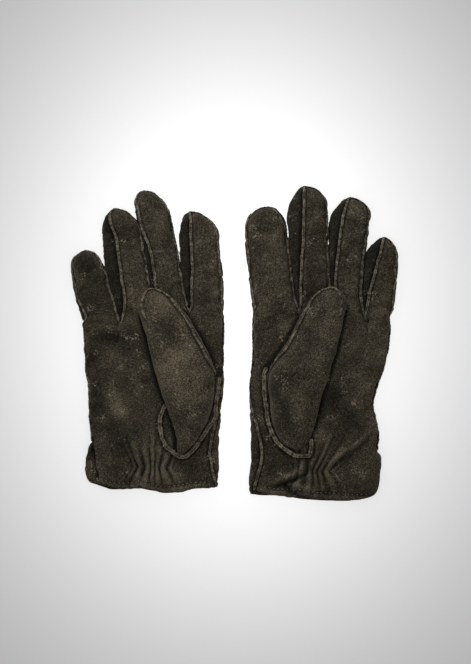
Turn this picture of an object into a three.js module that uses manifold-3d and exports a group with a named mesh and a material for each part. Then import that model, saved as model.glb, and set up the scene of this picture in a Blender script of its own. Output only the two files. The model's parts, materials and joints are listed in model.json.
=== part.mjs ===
// A pair of suede gardening gloves in millimetres, +Z up, laid on their backs side by side: the
// palms face +Z, the fingers point along +Y and each thumb is folded over its palm.
// Every panel is one layer of leather. A finger is a rounded-box tube cut into the panels that a
// glover sews: a front, a back and the fourchettes between neighbouring fingers.

import * as THREE from "three";
import { mergeVertices } from "three/addons/utils/BufferGeometryUtils.js";
import Module from "manifold-3d";

const wasm = await Module();
wasm.setup();

// ---------------------------------------------------------------- driving dimensions
const LEATHER = 1.3; // one layer of suede
const HAND_DEPTH = 15; // empty hand, palm side to back
const FINGER_DEPTH = 15;
const THUMB_DEPTH = 13;
const THUMB_CLEARANCE = 0.6; // under the folded thumb
const PANEL_GAP = 0.35; // between panels that are sewn to each other
const BEND_GAP = 0.3; // on each side of the line where a finger or thumb bends
const ROOT_START = 2.6; // where a finger's root begins along its path, inside the hand
const SEAM_RADIUS = 1.1; // raised outside seam
const INDEX_SEAM_END = 10; // where the seam up each side of the hand ends, along Y
const OUTER_SEAM_END = 6;
const HEM_DEPTH = 8; // turned-in hem at the cuff
const HEM_START = 0.003; // share of the hand's length that the hem stays inside the cuff
const ELASTIC = { width: 6, thickness: 1 };
const FINGER_SQUARENESS = 2.6; // exponents of the rounded-box sections
const HAND_SQUARENESS = 3.2;
const BED_FLATNESS = 1.08; // how far the underside is pressed flat by the ground
const DOME_STEPS = [0, 35, 60, 84]; // degrees round a fingertip
const INNER_GAP = 0.9; // over a hem or elastic that lies inside another layer
const HOLE_SHARES = [0.22, 0.9]; // how far up the thumb's base the hole under it runs
const HOLE_SIDES = [0.14, 0.86]; // and how far across it
const PAIR_CENTRE = [2.2, 0.9]; // middle of the pair in the plan that follows, put at the origin

// Plan positions are [x, y]. An edge lists [y, x] from the cuff to the knuckles, and a hem or
// knuckle line lists [share of the width from the left, y]. A tube's path runs from its root to
// its tip, and bend is how far along it the tube bends. Seams are section angles in degrees, from
// +X towards the palm side: front right, front left, back left, back right. Where the two on one
// side are equal, one seam joins front and back there, as on the outer side of the hand.
const RIGHT = {
  outerSide: "left",
  palmLeft: [
    [-122, -106], [-117, -111], [-107, -114.5], [-84, -117.5],
    [-60, -120], [-27, -121], [8, -123.5], [20, -124],
  ],
  backLeft: [
    [-122, -112], [-112, -119.5], [-104, -121.8], [-88, -121],
    [-82, -118.5], [-60, -120], [-27, -121], [20, -124],
  ],
  rightEdge: [[-122, -11.5], [-100, -13], [-80, -14], [-57, -13.2], [-45, -9.5], [-26, -8.5], [20, -7.5]],
  hem: [[0, -117], [0.12, -121], [0.35, -120], [0.52, -122], [0.7, -120.5], [1, -119]],
  knuckles: [[0, 13], [0.24, 16], [0.38, 24], [0.59, 29.5], [0.82, 26], [1, 20]],
  ventTop: -82,
  elasticEnds: [-82, -50],
  elasticLine: -102,
  thumbBaseLeft: [[-46.5, -90], [-58.5, -76], [-61.6, -60], [-59.6, -42.8]],
  thumbBaseRight: [[-43, -90], [-29, -74], [-18, -57], [-13, -27.2]],
  thumb: {
    path: [[-36.3, -34.5], [-50, 6], [-63.7, 45]],
    width: [49, 40, 33],
    bend: 0,
    seamAngle: 0,
  },
  fingers: {
    little: {
      path: [[-108, 10], [-116.8, 45], [-121.6, 78]],
      width: [30, 29.6, 26],
      bend: 27,
      seams: [8, 150, 150, 340],
    },
    ring: {
      path: [[-78.5, 17], [-87, 60], [-94, 111.5]],
      width: [29.5, 32.5, 30],
      bend: 33,
      seams: [12, 106, 200, 340],
    },
    middle: {
      path: [[-49.2, 22], [-57, 66], [-68.5, 129]],
      width: [28, 28, 26.4],
      bend: 30,
      seams: [12, 112, 200, 340],
    },
    index: {
      path: [[-21.6, 16], [-25.6, 62], [-28.6, 109]],
      width: [27, 31, 30.5],
      bend: 32,
      seams: [0, 108, 200, 360],
    },
  },
};
const LEFT = {
  outerSide: "right",
  leftEdge: [
    [-128, 11.5], [-108, 13], [-89, 15], [-68, 16.5],
    [-50, 15], [-28, 15.5], [-5, 16.4], [18, 16],
  ],
  palmRight: [
    [-130, 110], [-122, 119], [-108, 121.5], [-94, 123], [-88, 120],
    [-73, 121.5], [-53, 117], [-42, 117], [-25, 123], [18, 130.5],
  ],
  backRight: [
    [-130, 106], [-122, 115], [-108, 117], [-94, 119], [-88, 119.5],
    [-73, 121.5], [-53, 117], [-42, 117], [-25, 123], [18, 130.5],
  ],
  hem: [[0, -121], [0.2, -125], [0.5, -127.5], [0.8, -129.5], [1, -124]],
  knuckles: [[0, 19], [0.19, 23], [0.33, 27.5], [0.62, 30], [0.82, 23], [1, 14]],
  ventTop: -90,
  elasticEnds: [50, 82],
  elasticLine: -104,
  thumbBaseLeft: [[50, -89], [34, -79], [27.5, -60], [28.4, -20.9]],
  thumbBaseRight: [[55, -89], [61, -80], [65, -62], [74.5, -38.2]],
  thumb: {
    path: [[51.7, -28.6], [67.6, 7], [78.4, 45.7]],
    width: [49, 40, 33],
    bend: 0,
    seamAngle: 180,
  },
  fingers: {
    index: {
      path: [[36, 18], [30, 62], [26.5, 113.2]],
      width: [31, 34, 33],
      bend: 31,
      seams: [10, 180, 180, 345],
    },
    middle: {
      path: [[69.5, 22], [63.2, 66], [61, 131]],
      width: [29, 31, 33],
      bend: 30,
      seams: [12, 112, 200, 340],
    },
    ring: {
      path: [[97.6, 20], [94.6, 62], [99, 121]],
      width: [26, 27.5, 30.5],
      bend: 32,
      seams: [12, 115, 200, 340],
    },
    little: {
      path: [[121, 12], [122.6, 50], [125, 88]],
      width: [24, 26, 26],
      bend: 26,
      seams: [0, 112, 200, 360],
    },
  },
};
const COLOURS = { suede: "#332e26", fourchette: "#28241e", seam: "#4a443a", elastic: "#1c1b1a" };
const ROUGHNESS = { suede: 0.95, fourchette: 0.95, seam: 0.9, elastic: 0.8 };

// ---------------------------------------------------------------- small helpers
const radians = THREE.MathUtils.degToRad;
const lerp = THREE.MathUtils.lerp;
const power = (value, exponent) => Math.sign(value) * Math.abs(value) ** exponent;
const steps = (from, to, count) => Array.from({ length: count + 1 }, (_, i) => lerp(from, to, i / count));

// The value of a polyline of [at, value] pairs, held level past its ends.
function along(pairs, at) {
  const next = pairs.findIndex(([x]) => x > at);
  if (next === 0) return pairs[0][1];
  if (next < 0) return pairs.at(-1)[1];
  const [[x0, v0], [x1, v1]] = [pairs[next - 1], pairs[next]];
  return lerp(v0, v1, (at - x0) / (x1 - x0));
}

// Share of the half-width and half-depth of a rounded box at an angle. The underside is flat.
function section(angle, squareness) {
  const side = power(Math.cos(angle), 2 / squareness);
  const rise = power(Math.sin(angle), 2 / squareness);
  return [side, Math.max(rise < 0 ? rise * BED_FLATNESS : rise, -1)];
}

const riseAt = (side, squareness) => (1 - Math.min(Math.abs(side), 1) ** squareness) ** (1 / squareness);

// A closed solid between two grids of points of the same size.
function closedSheet(outer, inner) {
  const rows = outer.length;
  const columns = outer[0].length;
  const points = [...outer.flat(), ...inner.flat()];
  const at = (layer, row, column) => (layer * rows + row) * columns + column;
  const faces = [];
  const quad = (a, b, c, d) => faces.push(a, b, c, a, c, d);
  for (let r = 0; r < rows - 1; r++) {
    for (let c = 0; c < columns - 1; c++) {
      quad(at(0, r, c), at(0, r, c + 1), at(0, r + 1, c + 1), at(0, r + 1, c));
      quad(at(1, r, c), at(1, r + 1, c), at(1, r + 1, c + 1), at(1, r, c + 1));
    }
    quad(at(0, r, 0), at(0, r + 1, 0), at(1, r + 1, 0), at(1, r, 0));
    const last = columns - 1;
    quad(at(0, r + 1, last), at(0, r, last), at(1, r, last), at(1, r + 1, last));
  }
  for (let c = 0; c < columns - 1; c++) {
    quad(at(0, 0, c + 1), at(0, 0, c), at(1, 0, c), at(1, 0, c + 1));
    const last = rows - 1;
    quad(at(0, last, c), at(0, last, c + 1), at(1, last, c + 1), at(1, last, c));
  }
  const volume = faces.reduce((sum, _, i) => {
    if (i % 3) return sum;
    const [a, b, c] = [points[faces[i]], points[faces[i + 1]], points[faces[i + 2]]];
    return sum + a.dot(new THREE.Vector3().crossVectors(b, c));
  }, 0);
  if (volume < 0) faces.reverse();
  const geometry = new THREE.BufferGeometry().setFromPoints(points).setIndex(faces);
  geometry.computeVertexNormals();
  return geometry;
}

function solidOf(geometry) {
  const bare = geometry.clone();
  bare.deleteAttribute("normal");
  bare.deleteAttribute("uv");
  const merged = mergeVertices(bare, 1e-4);
  return new wasm.Manifold(new wasm.Mesh({
    numProp: 3,
    vertProperties: merged.attributes.position.array,
    triVerts: new Uint32Array(merged.index.array),
  }));
}

function geometryOf(solid) {
  const { vertProperties, triVerts } = solid.getMesh();
  const geometry = new THREE.BufferGeometry();
  geometry.setAttribute("position", new THREE.BufferAttribute(vertProperties, 3));
  geometry.setIndex(new THREE.BufferAttribute(triVerts, 1));
  geometry.computeVertexNormals();
  return geometry;
}

const joined = (geometries) => geometryOf(geometries.map(solidOf).reduce((a, b) => a.add(b)));
const cut = (geometry, tool) => geometryOf(solidOf(geometry).subtract(solidOf(tool)));

// A round cord of leather, the raised ridge of an outside seam, along a list of points.
function ridge(points, pieces) {
  const round = new THREE.Shape(steps(0, 5, 5).map((i) => {
    const turn = radians(i * 60);
    return new THREE.Vector2(SEAM_RADIUS * Math.cos(turn), SEAM_RADIUS * Math.sin(turn));
  }));
  const extrudePath = new THREE.CatmullRomCurve3(points, false, "centripetal");
  return new THREE.ExtrudeGeometry(round, { steps: pieces, extrudePath, curveSegments: 1 });
}

// ---------------------------------------------------------------- fingers and thumbs
// A tube lies on a floor height and runs along its path, ending in a dome.
function makeTube({ path, width, bend }, depth, floor) {
  const curve = new THREE.CatmullRomCurve3(path.map(([x, y]) => new THREE.Vector3(x, y, 0)));
  const length = curve.getLength();
  const dome = width[2] / 2;
  return { curve, length, dome, width, depth, floor, bend, straight: length - dome };
}

function tubeFrame(tube, distance) {
  const share = Math.min(distance / tube.length, 1);
  const ahead = tube.curve.getTangentAt(share);
  return { centre: tube.curve.getPointAt(share), ahead, lateral: new THREE.Vector3(ahead.y, -ahead.x, 0) };
}

// A point of the tube's skin, inset by a depth, at a distance along it or at an angle round its tip.
function tubePoint(tube, distance, tipAngle, angle, inset) {
  const reach = tipAngle > 0 ? tube.straight + (tube.dome - inset) * Math.sin(tipAngle) : distance;
  const taper = Math.cos(tipAngle);
  const { straight, width, depth, floor } = tube;
  const full = along([[0, width[0]], [straight / 2, width[1]], [straight, width[2]]], reach);
  const { centre, lateral } = tubeFrame(tube, reach);
  const [side, rise] = section(angle, FINGER_SQUARENESS);
  const height = floor + depth / 2 + (depth / 2 - inset) * taper * rise;
  return centre.clone().addScaledVector(lateral, (full / 2 - inset) * taper * side).setZ(height);
}

// One leather panel of a tube between two section angles, in degrees, from a distance to the tip.
function tubePanel(tube, fromAngle, toAngle, columns, start, trim = 2.5) {
  const straightRows = steps(start, tube.straight, 2).map((d) => [d, 0]);
  const rows = [...straightRows, ...DOME_STEPS.slice(1).map((d) => [0, radians(d)])];
  const angles = steps(radians(fromAngle + trim), radians(toAngle - trim), columns);
  const grid = (inset) => rows.map(([d, tip]) => angles.map((a) => tubePoint(tube, d, tip, a, inset)));
  return closedSheet(grid(0), grid(LEATHER));
}

// The short root of a finger that belongs to the palm or the back, between the knuckles and the bend.
function fingerRoot(tube, fromAngle, toAngle) {
  const angles = steps(radians(fromAngle), radians(toAngle), 6);
  const rows = steps(ROOT_START, tube.bend - BEND_GAP, 2);
  const grid = (inset) => rows.map((d) => angles.map((a) => tubePoint(tube, d, 0, a, inset)));
  return closedSheet(grid(0), grid(LEATHER));
}

// ---------------------------------------------------------------- the hand
function makeHand(glove) {
  const fingers = Object.fromEntries(
    Object.entries(glove.fingers).map(([name, spec]) => [name, makeTube(spec, FINGER_DEPTH, 0)]),
  );
  return { ...glove, fingers };
}

function handEdges(hand, y, face) {
  const left = hand.leftEdge ?? (face === "palm" ? hand.palmLeft : hand.backLeft);
  const right = hand.rightEdge ?? (face === "palm" ? hand.palmRight : hand.backRight);
  return [along(left, y), along(right, y)];
}

// How high the nearest finger root stands over a plan position, as a share of its half-depth.
function knuckleRise(hand, x, y) {
  const shares = Object.values(hand.fingers).map((tube) => {
    const { centre, lateral } = tubeFrame(tube, 0);
    const offset = new THREE.Vector3(x, y, 0).sub(centre).dot(lateral);
    return riseAt(offset / (tube.width[0] / 2), FINGER_SQUARENESS);
  });
  return Math.max(...shares);
}

// A point of the hand's skin at a section angle, from 0 at the cuff to 1 at the knuckles.
function handPoint(hand, face, angle, share, inset) {
  const [side, rise] = section(angle, HAND_SQUARENESS);
  const across = (side + 1) / 2;
  const y = lerp(along(hand.hem, across), along(hand.knuckles, across), share);
  const [left, right] = handEdges(hand, y, face);
  const x = (left + right) / 2 + side * ((right - left) / 2 - inset);
  const toKnuckles = THREE.MathUtils.smoothstep(share, 0.7, 1);
  const up = face === "palm" ? 1 : -1;
  const shareOfDepth = lerp(Math.abs(rise), knuckleRise(hand, x, y), toKnuckles);
  const least = inset > 0 ? PANEL_GAP : LEATHER * 0.7 + PANEL_GAP;
  const height = Math.max((HAND_DEPTH / 2 - inset) * shareOfDepth, least);
  return new THREE.Vector3(x, y, HAND_DEPTH / 2 + up * height);
}

// A layer of the hand between two depths under its skin: a panel, a turned hem or the elastic.
function handLayer(hand, face, angles, shares, outerInset, innerInset) {
  const grid = (inset) => shares.map((s) => angles.map((a) => handPoint(hand, face, a, s, inset)));
  return closedSheet(grid(outerInset), grid(innerInset));
}

function palmHeight(hand, x, y) {
  const [left, right] = handEdges(hand, y, "palm");
  const side = (x - (left + right) / 2) / ((right - left) / 2);
  return HAND_DEPTH / 2 + (HAND_DEPTH / 2) * riseAt(side, HAND_SQUARENESS);
}

// The section angle on the palm at a plan position, and how far it is from cuff to knuckles.
function handPlace(hand, x, y) {
  const [left, right] = handEdges(hand, y, "palm");
  const side = (x - (left + right) / 2) / ((right - left) / 2);
  const across = (side + 1) / 2;
  const hem = along(hand.hem, across);
  return [Math.acos(power(side, HAND_SQUARENESS / 2)), (y - hem) / (along(hand.knuckles, across) - hem)];
}

const HAND_ROWS = steps(0, 0.7, 5).concat([0.85, 1]);
const HAND_COLUMNS = 12;
const PANEL_TRIM = 5; // degrees of section angle between a hand panel and the side seam

const HAND_ANGLES = {
  palm: [PANEL_TRIM, 180 - PANEL_TRIM],
  back: [180 + PANEL_TRIM, 360 - PANEL_TRIM],
};
const handColumns = (face) => steps(...HAND_ANGLES[face].map(radians), HAND_COLUMNS);

function handPanel(hand, face) {
  const [from, to] = HAND_ANGLES[face];
  const skin = handLayer(hand, face, handColumns(face), HAND_ROWS, 0, LEATHER);
  const roots = Object.values(hand.fingers).map((tube) => fingerRoot(tube, from, to));
  return joined([skin, ...roots]);
}

function hem(hand, face) {
  const depthShare = HEM_DEPTH / (along(hand.knuckles, 0.5) - along(hand.hem, 0.5));
  const angles = handColumns(face).slice(2, -2); // stops short of the side seams
  const outer = LEATHER + INNER_GAP;
  return handLayer(hand, face, angles, [HEM_START, depthShare], outer, outer + LEATHER);
}

function wristElastic(hand) {
  const [fromX, toX] = hand.elasticEnds;
  const [nearAngle, nearShare] = handPlace(hand, toX, hand.elasticLine);
  const [farAngle] = handPlace(hand, fromX, hand.elasticLine);
  const half = ELASTIC.width / 2 / (along(hand.knuckles, 0.5) - along(hand.hem, 0.5));
  const outer = LEATHER + INNER_GAP;
  const shares = [nearShare - half, nearShare + half];
  return handLayer(hand, "palm", steps(nearAngle, farAngle, 6), shares, outer, outer + ELASTIC.thickness);
}

// The raised seam down one side of the hand, just outside the edges of palm and back.
function sideSeam(hand, side, fromY, toY) {
  const angle = side === "right" ? 0 : Math.PI;
  const clear = SEAM_RADIUS + PANEL_GAP;
  const points = steps(fromY, toY, 6).map((y) => {
    const [left, right] = ["palm", "back"].map((face) => handEdges(hand, y, face))
      .reduce(([l0, r0], [l1, r1]) => [Math.min(l0, l1), Math.max(r0, r1)]);
    return new THREE.Vector3(angle === 0 ? right + clear : left - clear, y, HAND_DEPTH / 2);
  });
  return ridge(points, 10);
}

// ---------------------------------------------------------------- the thumb
// The thumb's sewn-in base is a dome over a hole in the palm, open underneath.
function baseRow(hand, share) {
  const side = (points) => new THREE.CatmullRomCurve3(points.map(([x, y]) => new THREE.Vector3(x, y, 0)));
  return [side(hand.thumbBaseLeft).getPoint(share), side(hand.thumbBaseRight).getPoint(share)];
}

function thumbBase(hand) {
  const grid = (lift) => steps(0, 1, 6).map((share) => {
    const [left, right] = baseRow(hand, share);
    const crown = THUMB_CLEARANCE + THUMB_DEPTH - LEATHER - PANEL_GAP;
    return steps(-1, 1, 10).map((side) => {
      const point = left.clone().lerp(right, (side + 1) / 2);
      const rise = crown * Math.sin((share * Math.PI) / 2) ** 0.8 * riseAt(side, FINGER_SQUARENESS);
      return point.setZ(palmHeight(hand, point.x, point.y) + PANEL_GAP + rise + lift);
    });
  });
  return closedSheet(grid(LEATHER), grid(0));
}

function thumbHole(hand) {
  const edge = (which) => steps(...HOLE_SHARES, 5).map((share) => {
    const [left, right] = baseRow(hand, share);
    const point = left.clone().lerp(right, which);
    return new THREE.Vector2(point.x, point.y);
  });
  const [near, far] = HOLE_SIDES.map(edge);
  const outline = new THREE.Shape([...near, ...far.reverse()]);
  const hole = new THREE.ExtrudeGeometry(outline, { depth: HAND_DEPTH, bevelEnabled: false });
  return hole.translate(0, 0, HAND_DEPTH / 2 + 1);
}

// The raised seam where the thumb's base is set into the palm, round its lower end.
function thumbWelt(hand) {
  const clear = SEAM_RADIUS + PANEL_GAP;
  const edge = (which, outward) => steps(0.02, 0.9, 5).map((share) => {
    const row = baseRow(hand, share);
    const ahead = baseRow(hand, share + 0.02)[which].sub(row[which]).normalize();
    const away = new THREE.Vector3(ahead.y, -ahead.x, 0).multiplyScalar(outward * (clear + 2 * PANEL_GAP));
    const point = row[which].add(away);
    return point.setZ(palmHeight(hand, point.x, point.y) + clear);
  });
  const [left, right] = [edge(0, -1), edge(1, 1)];
  const bottom = left[0].clone().lerp(right[0], 0.5);
  bottom.y -= clear;
  return ridge([...left.reverse(), bottom, ...right], 20);
}

function thumbSeam(tube, seamAngle) {
  const angle = radians(seamAngle);
  const clear = -(SEAM_RADIUS + PANEL_GAP);
  const straight = steps(3, tube.straight, 4).map((d) => tubePoint(tube, d, 0, angle, clear));
  const tip = [30, 60].map((d) => tubePoint(tube, 0, radians(d), angle, clear));
  return ridge([...straight, ...tip], 14);
}

// ---------------------------------------------------------------- the pair
const materials = Object.fromEntries(Object.keys(COLOURS).map((slot) => [
  slot,
  new THREE.MeshStandardMaterial({ color: COLOURS[slot], roughness: ROUGHNESS[slot], metalness: 0 }),
]));

function addPart(group, name, geometry, slot) {
  const mesh = new THREE.Mesh(geometry, materials[slot]);
  mesh.name = name;
  group.add(mesh);
}

function addFinger(group, prefix, tube, [frontRight, frontLeft, backLeft, backRight], sides) {
  const start = tube.bend + BEND_GAP;
  const add = (part, from, to, columns, slot) =>
    addPart(group, `${prefix}_${part}`, tubePanel(tube, from, to, columns, start), slot);
  add("front", frontRight, frontLeft, 5, "suede");
  add("back", backLeft, backRight, 5, "suede");
  if (backLeft > frontLeft) add(`${sides.left}_fourchette`, frontLeft, backLeft, 3, "fourchette");
  const wrapped = frontRight + 360;
  if (backRight < wrapped) add(`${sides.right}_fourchette`, backRight, wrapped, 2, "fourchette");
}

function makeGlove(glove, name) {
  const hand = makeHand(glove);
  const group = new THREE.Group();
  const thumbFloor = HAND_DEPTH + THUMB_CLEARANCE;
  const thumb = makeTube(hand.thumb, THUMB_DEPTH, thumbFloor);
  const outerLeft = hand.outerSide === "left";
  const sides = outerLeft ? { left: "outer", right: "inner" } : { left: "inner", right: "outer" };

  addPart(group, `${name}_palm_panel`, cut(handPanel(hand, "palm"), thumbHole(hand)), "suede");
  addPart(group, `${name}_back_panel`, handPanel(hand, "back"), "suede");
  addPart(group, `${name}_palm_hem`, hem(hand, "palm"), "suede");
  addPart(group, `${name}_back_hem`, hem(hand, "back"), "suede");
  addPart(group, `${name}_wrist_elastic`, wristElastic(hand), "elastic");
  const cuff = hand.hem[outerLeft ? hand.hem.length - 1 : 0][1] + 2;
  const indexSide = outerLeft ? "right" : "left";
  const outerSeam = sideSeam(hand, hand.outerSide, hand.ventTop, OUTER_SEAM_END);
  addPart(group, `${name}_index_side_seam`, sideSeam(hand, indexSide, cuff, INDEX_SEAM_END), "seam");
  addPart(group, `${name}_outer_side_seam`, outerSeam, "seam");

  for (const [finger, tube] of Object.entries(hand.fingers))
    addFinger(group, `${name}_${finger}`, tube, glove.fingers[finger].seams, sides);

  const { seamAngle } = hand.thumb;
  const start = thumb.bend + 2 * BEND_GAP;
  addPart(group, `${name}_thumb_base`, thumbBase(hand), "suede");
  addPart(group, `${name}_thumb_welt`, thumbWelt(hand), "seam");
  const wrap = tubePanel(thumb, seamAngle, seamAngle + 360, 12, start, 4);
  addPart(group, `${name}_thumb_panel`, wrap, "suede");
  addPart(group, `${name}_thumb_seam`, thumbSeam(thumb, seamAngle), "seam");

  // Where each finger and thumb bends: a line across it on its palm side.
  const tubes = { ...hand.fingers, thumb };
  group.userData.bends = Object.entries(tubes).map(([part, tube]) => {
    const { centre, lateral } = tubeFrame(tube, tube.bend);
    return { part, point: centre.setZ(tube.floor + tube.depth), axis: lateral };
  });
  return group;
}

const gloves = new THREE.Group();
gloves.add(makeGlove(RIGHT, "right"), makeGlove(LEFT, "left"));
gloves.position.set(-PAIR_CENTRE[0], -PAIR_CENTRE[1], 0);

export default gloves;
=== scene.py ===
"""A pair of suede gardening gloves lying palm up, dressed in Blender around its CAD frame.

Lengths are millimetres in the plan that the gloves were drawn in, until a mesh is made.
"""

import json
import math

import bpy
import numpy as np
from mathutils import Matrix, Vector, kdtree, noise


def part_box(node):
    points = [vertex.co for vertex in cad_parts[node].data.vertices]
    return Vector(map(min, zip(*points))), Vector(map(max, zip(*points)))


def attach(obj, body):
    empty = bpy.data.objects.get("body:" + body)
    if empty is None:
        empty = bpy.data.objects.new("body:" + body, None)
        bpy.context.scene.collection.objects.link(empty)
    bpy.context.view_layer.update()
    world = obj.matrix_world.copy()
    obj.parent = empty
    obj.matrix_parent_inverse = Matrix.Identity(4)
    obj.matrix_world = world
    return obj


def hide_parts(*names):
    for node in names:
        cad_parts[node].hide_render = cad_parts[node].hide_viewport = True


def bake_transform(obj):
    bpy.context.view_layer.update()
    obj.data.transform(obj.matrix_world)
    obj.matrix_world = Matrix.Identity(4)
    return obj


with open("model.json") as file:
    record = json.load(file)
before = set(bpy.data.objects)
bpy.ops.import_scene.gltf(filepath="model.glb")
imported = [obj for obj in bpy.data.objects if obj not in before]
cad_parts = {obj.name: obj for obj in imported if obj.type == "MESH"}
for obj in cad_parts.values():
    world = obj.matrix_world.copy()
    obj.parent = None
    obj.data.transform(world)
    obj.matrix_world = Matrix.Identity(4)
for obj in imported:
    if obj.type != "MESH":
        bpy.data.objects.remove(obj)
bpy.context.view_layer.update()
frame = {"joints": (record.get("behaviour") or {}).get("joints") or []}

# ------------------------------------------------------------------ sizes, in millimetres
MM = 0.001
PLAN_CENTRE = np.array([2.2, 0.9, 0.0])  # the plan's point that lies at the frame's origin
LEATHER = 1.3
CLEAR_OF_FLOOR = 0.05
HAND_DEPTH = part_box("right_back_panel")[0].z / MM + 15.0
FINGER_DEPTH = 14.4
THUMB_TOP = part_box("right_thumb_panel")[1].z / MM
# Half the width, and how square the corners are, of the section that each part's columns are
# shared out along.
HAND_SECTION = (55, 3.2)
FINGER_SECTION = (15, 2.5)
THUMB_SECTION = (17, 2.4)
THUMB_HALF_DEPTH = 6.5
FLOOR_FLATNESS = 1.08  # how far the underside is pressed flat
SECTION_POINTS = 2881
CROTCH_HEIGHT = {"front": 11.2, "back": 2.6}
CROTCH_SLOPE = 10.0  # how much nearer the tips the crotches are on the back than on the palm
CROTCH_RADIUS = 4.5
CROTCH_OPENING = 0.62  # share of the room between two fingers that opens within that radius
ROOT_REACH = 19.0  # how far up a finger its root's shape fades out
BLEND_HALF = 14.0  # a length on each side of a finger's hinge
THUMB_BEND = (1.0, 27.0)  # a stretch past the thumb's hinge; the thumb's free part begins at its start
THUMB_SEAM_ANGLE = 32  # how far up from its side the thumb's seam lies, in degrees
WELT_ROOM = 2.4  # between the thumb's base and the middle of its welt
SEAM_ROOM = 0.5  # left for the raised seams outside each side of a hand
SEAM_WIDTH = 2.2
SEAM_HEIGHT = 1.9
SEAM_STEP = 0.9  # between the rings that a raised seam is made of
STITCH_PITCH = 3.1

# Columns and rows of the fine mesh. They are even, because the cloth simulation takes every other one.
FINGER_COLUMNS = 24
SIDE_COLUMNS = 10
HAND_ROWS = 104
FINGER_ROW = 1.3  # length of one row along a finger
DOME_ROWS = 12
THUMB_ROWS = 116
HEM_ROW = 3  # the row of the mesh, counted from the cuff's edge, that the hem is sewn along
HEM_ROWS = 6  # how many rows the hem is turned in over
HEM_ENDS = (6, 3)  # columns that it stops short of the vent and of the other side
HOLE_MARGIN = 5.0  # how far inside the thumb's outline the palm's hole lies
SEAM_OVERLAP = 5  # rows of a finger that a hand's side seam runs on along

# The swells in the leather: (size, height, own seed).
HAND_SWELLS = [(34, 1.5, 0), (13, 0.85, 7)]
THUMB_SWELLS = [(30, 1.1, 0), (12, 0.7, 5)]

SLACK = 0.035  # how much longer the leather is than the seams that hold it
SLACK_FRAMES = 16
SLACK_LIMIT = 1.5  # how far the simulation may move a point
HELD_BELOW = 3.0  # the simulation holds the leather below this height

# ------------------------------------------------------------------ the two gloves
# Plan points are (x, y). An edge lists (y, x) from the cuff to the knuckles, and a hem lists
# (share of the width from the left, y). Below the vent's top, the palm and the back part on the
# outer side.
# A finger's path runs from root to tip, with its widths at the root, halfway and at the tip. Domes
# are the lengths over which its left and its right side draw in towards the tip, and lean is the
# tip's place across the finger, as a share of its half-width. Its two front seams are shares of the
# half-width at five places from root to tip, and its back seams are section angles in degrees from
# +X towards the palm. Where one side has no back seam, a single seam joins front and back.
# The thumb's rows are its fold side and its seam side, from its lower end to its tip.
# A crease is (line of plan points, width, height), and its height also sets painted shade along a
# valley and a painted highlight along a crest. A patch of painted light is (x, y, size, tint), and a
# tint below 0 is darker, as painted shade.
RIGHT_SEWN = [(-60, -119.3), (-34, -119.7), (-20, -121.6), (0, -124.2), (9, -124.8), (20, -123.2)]
LEFT_SEWN = [(-73, 121), (-66, 119.6), (-53, 114.4), (-42, 113), (-34, 113.4), (-25, 116.6),
             (-5, 121.2), (8, 124.6), (18, 128.8)]
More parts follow.
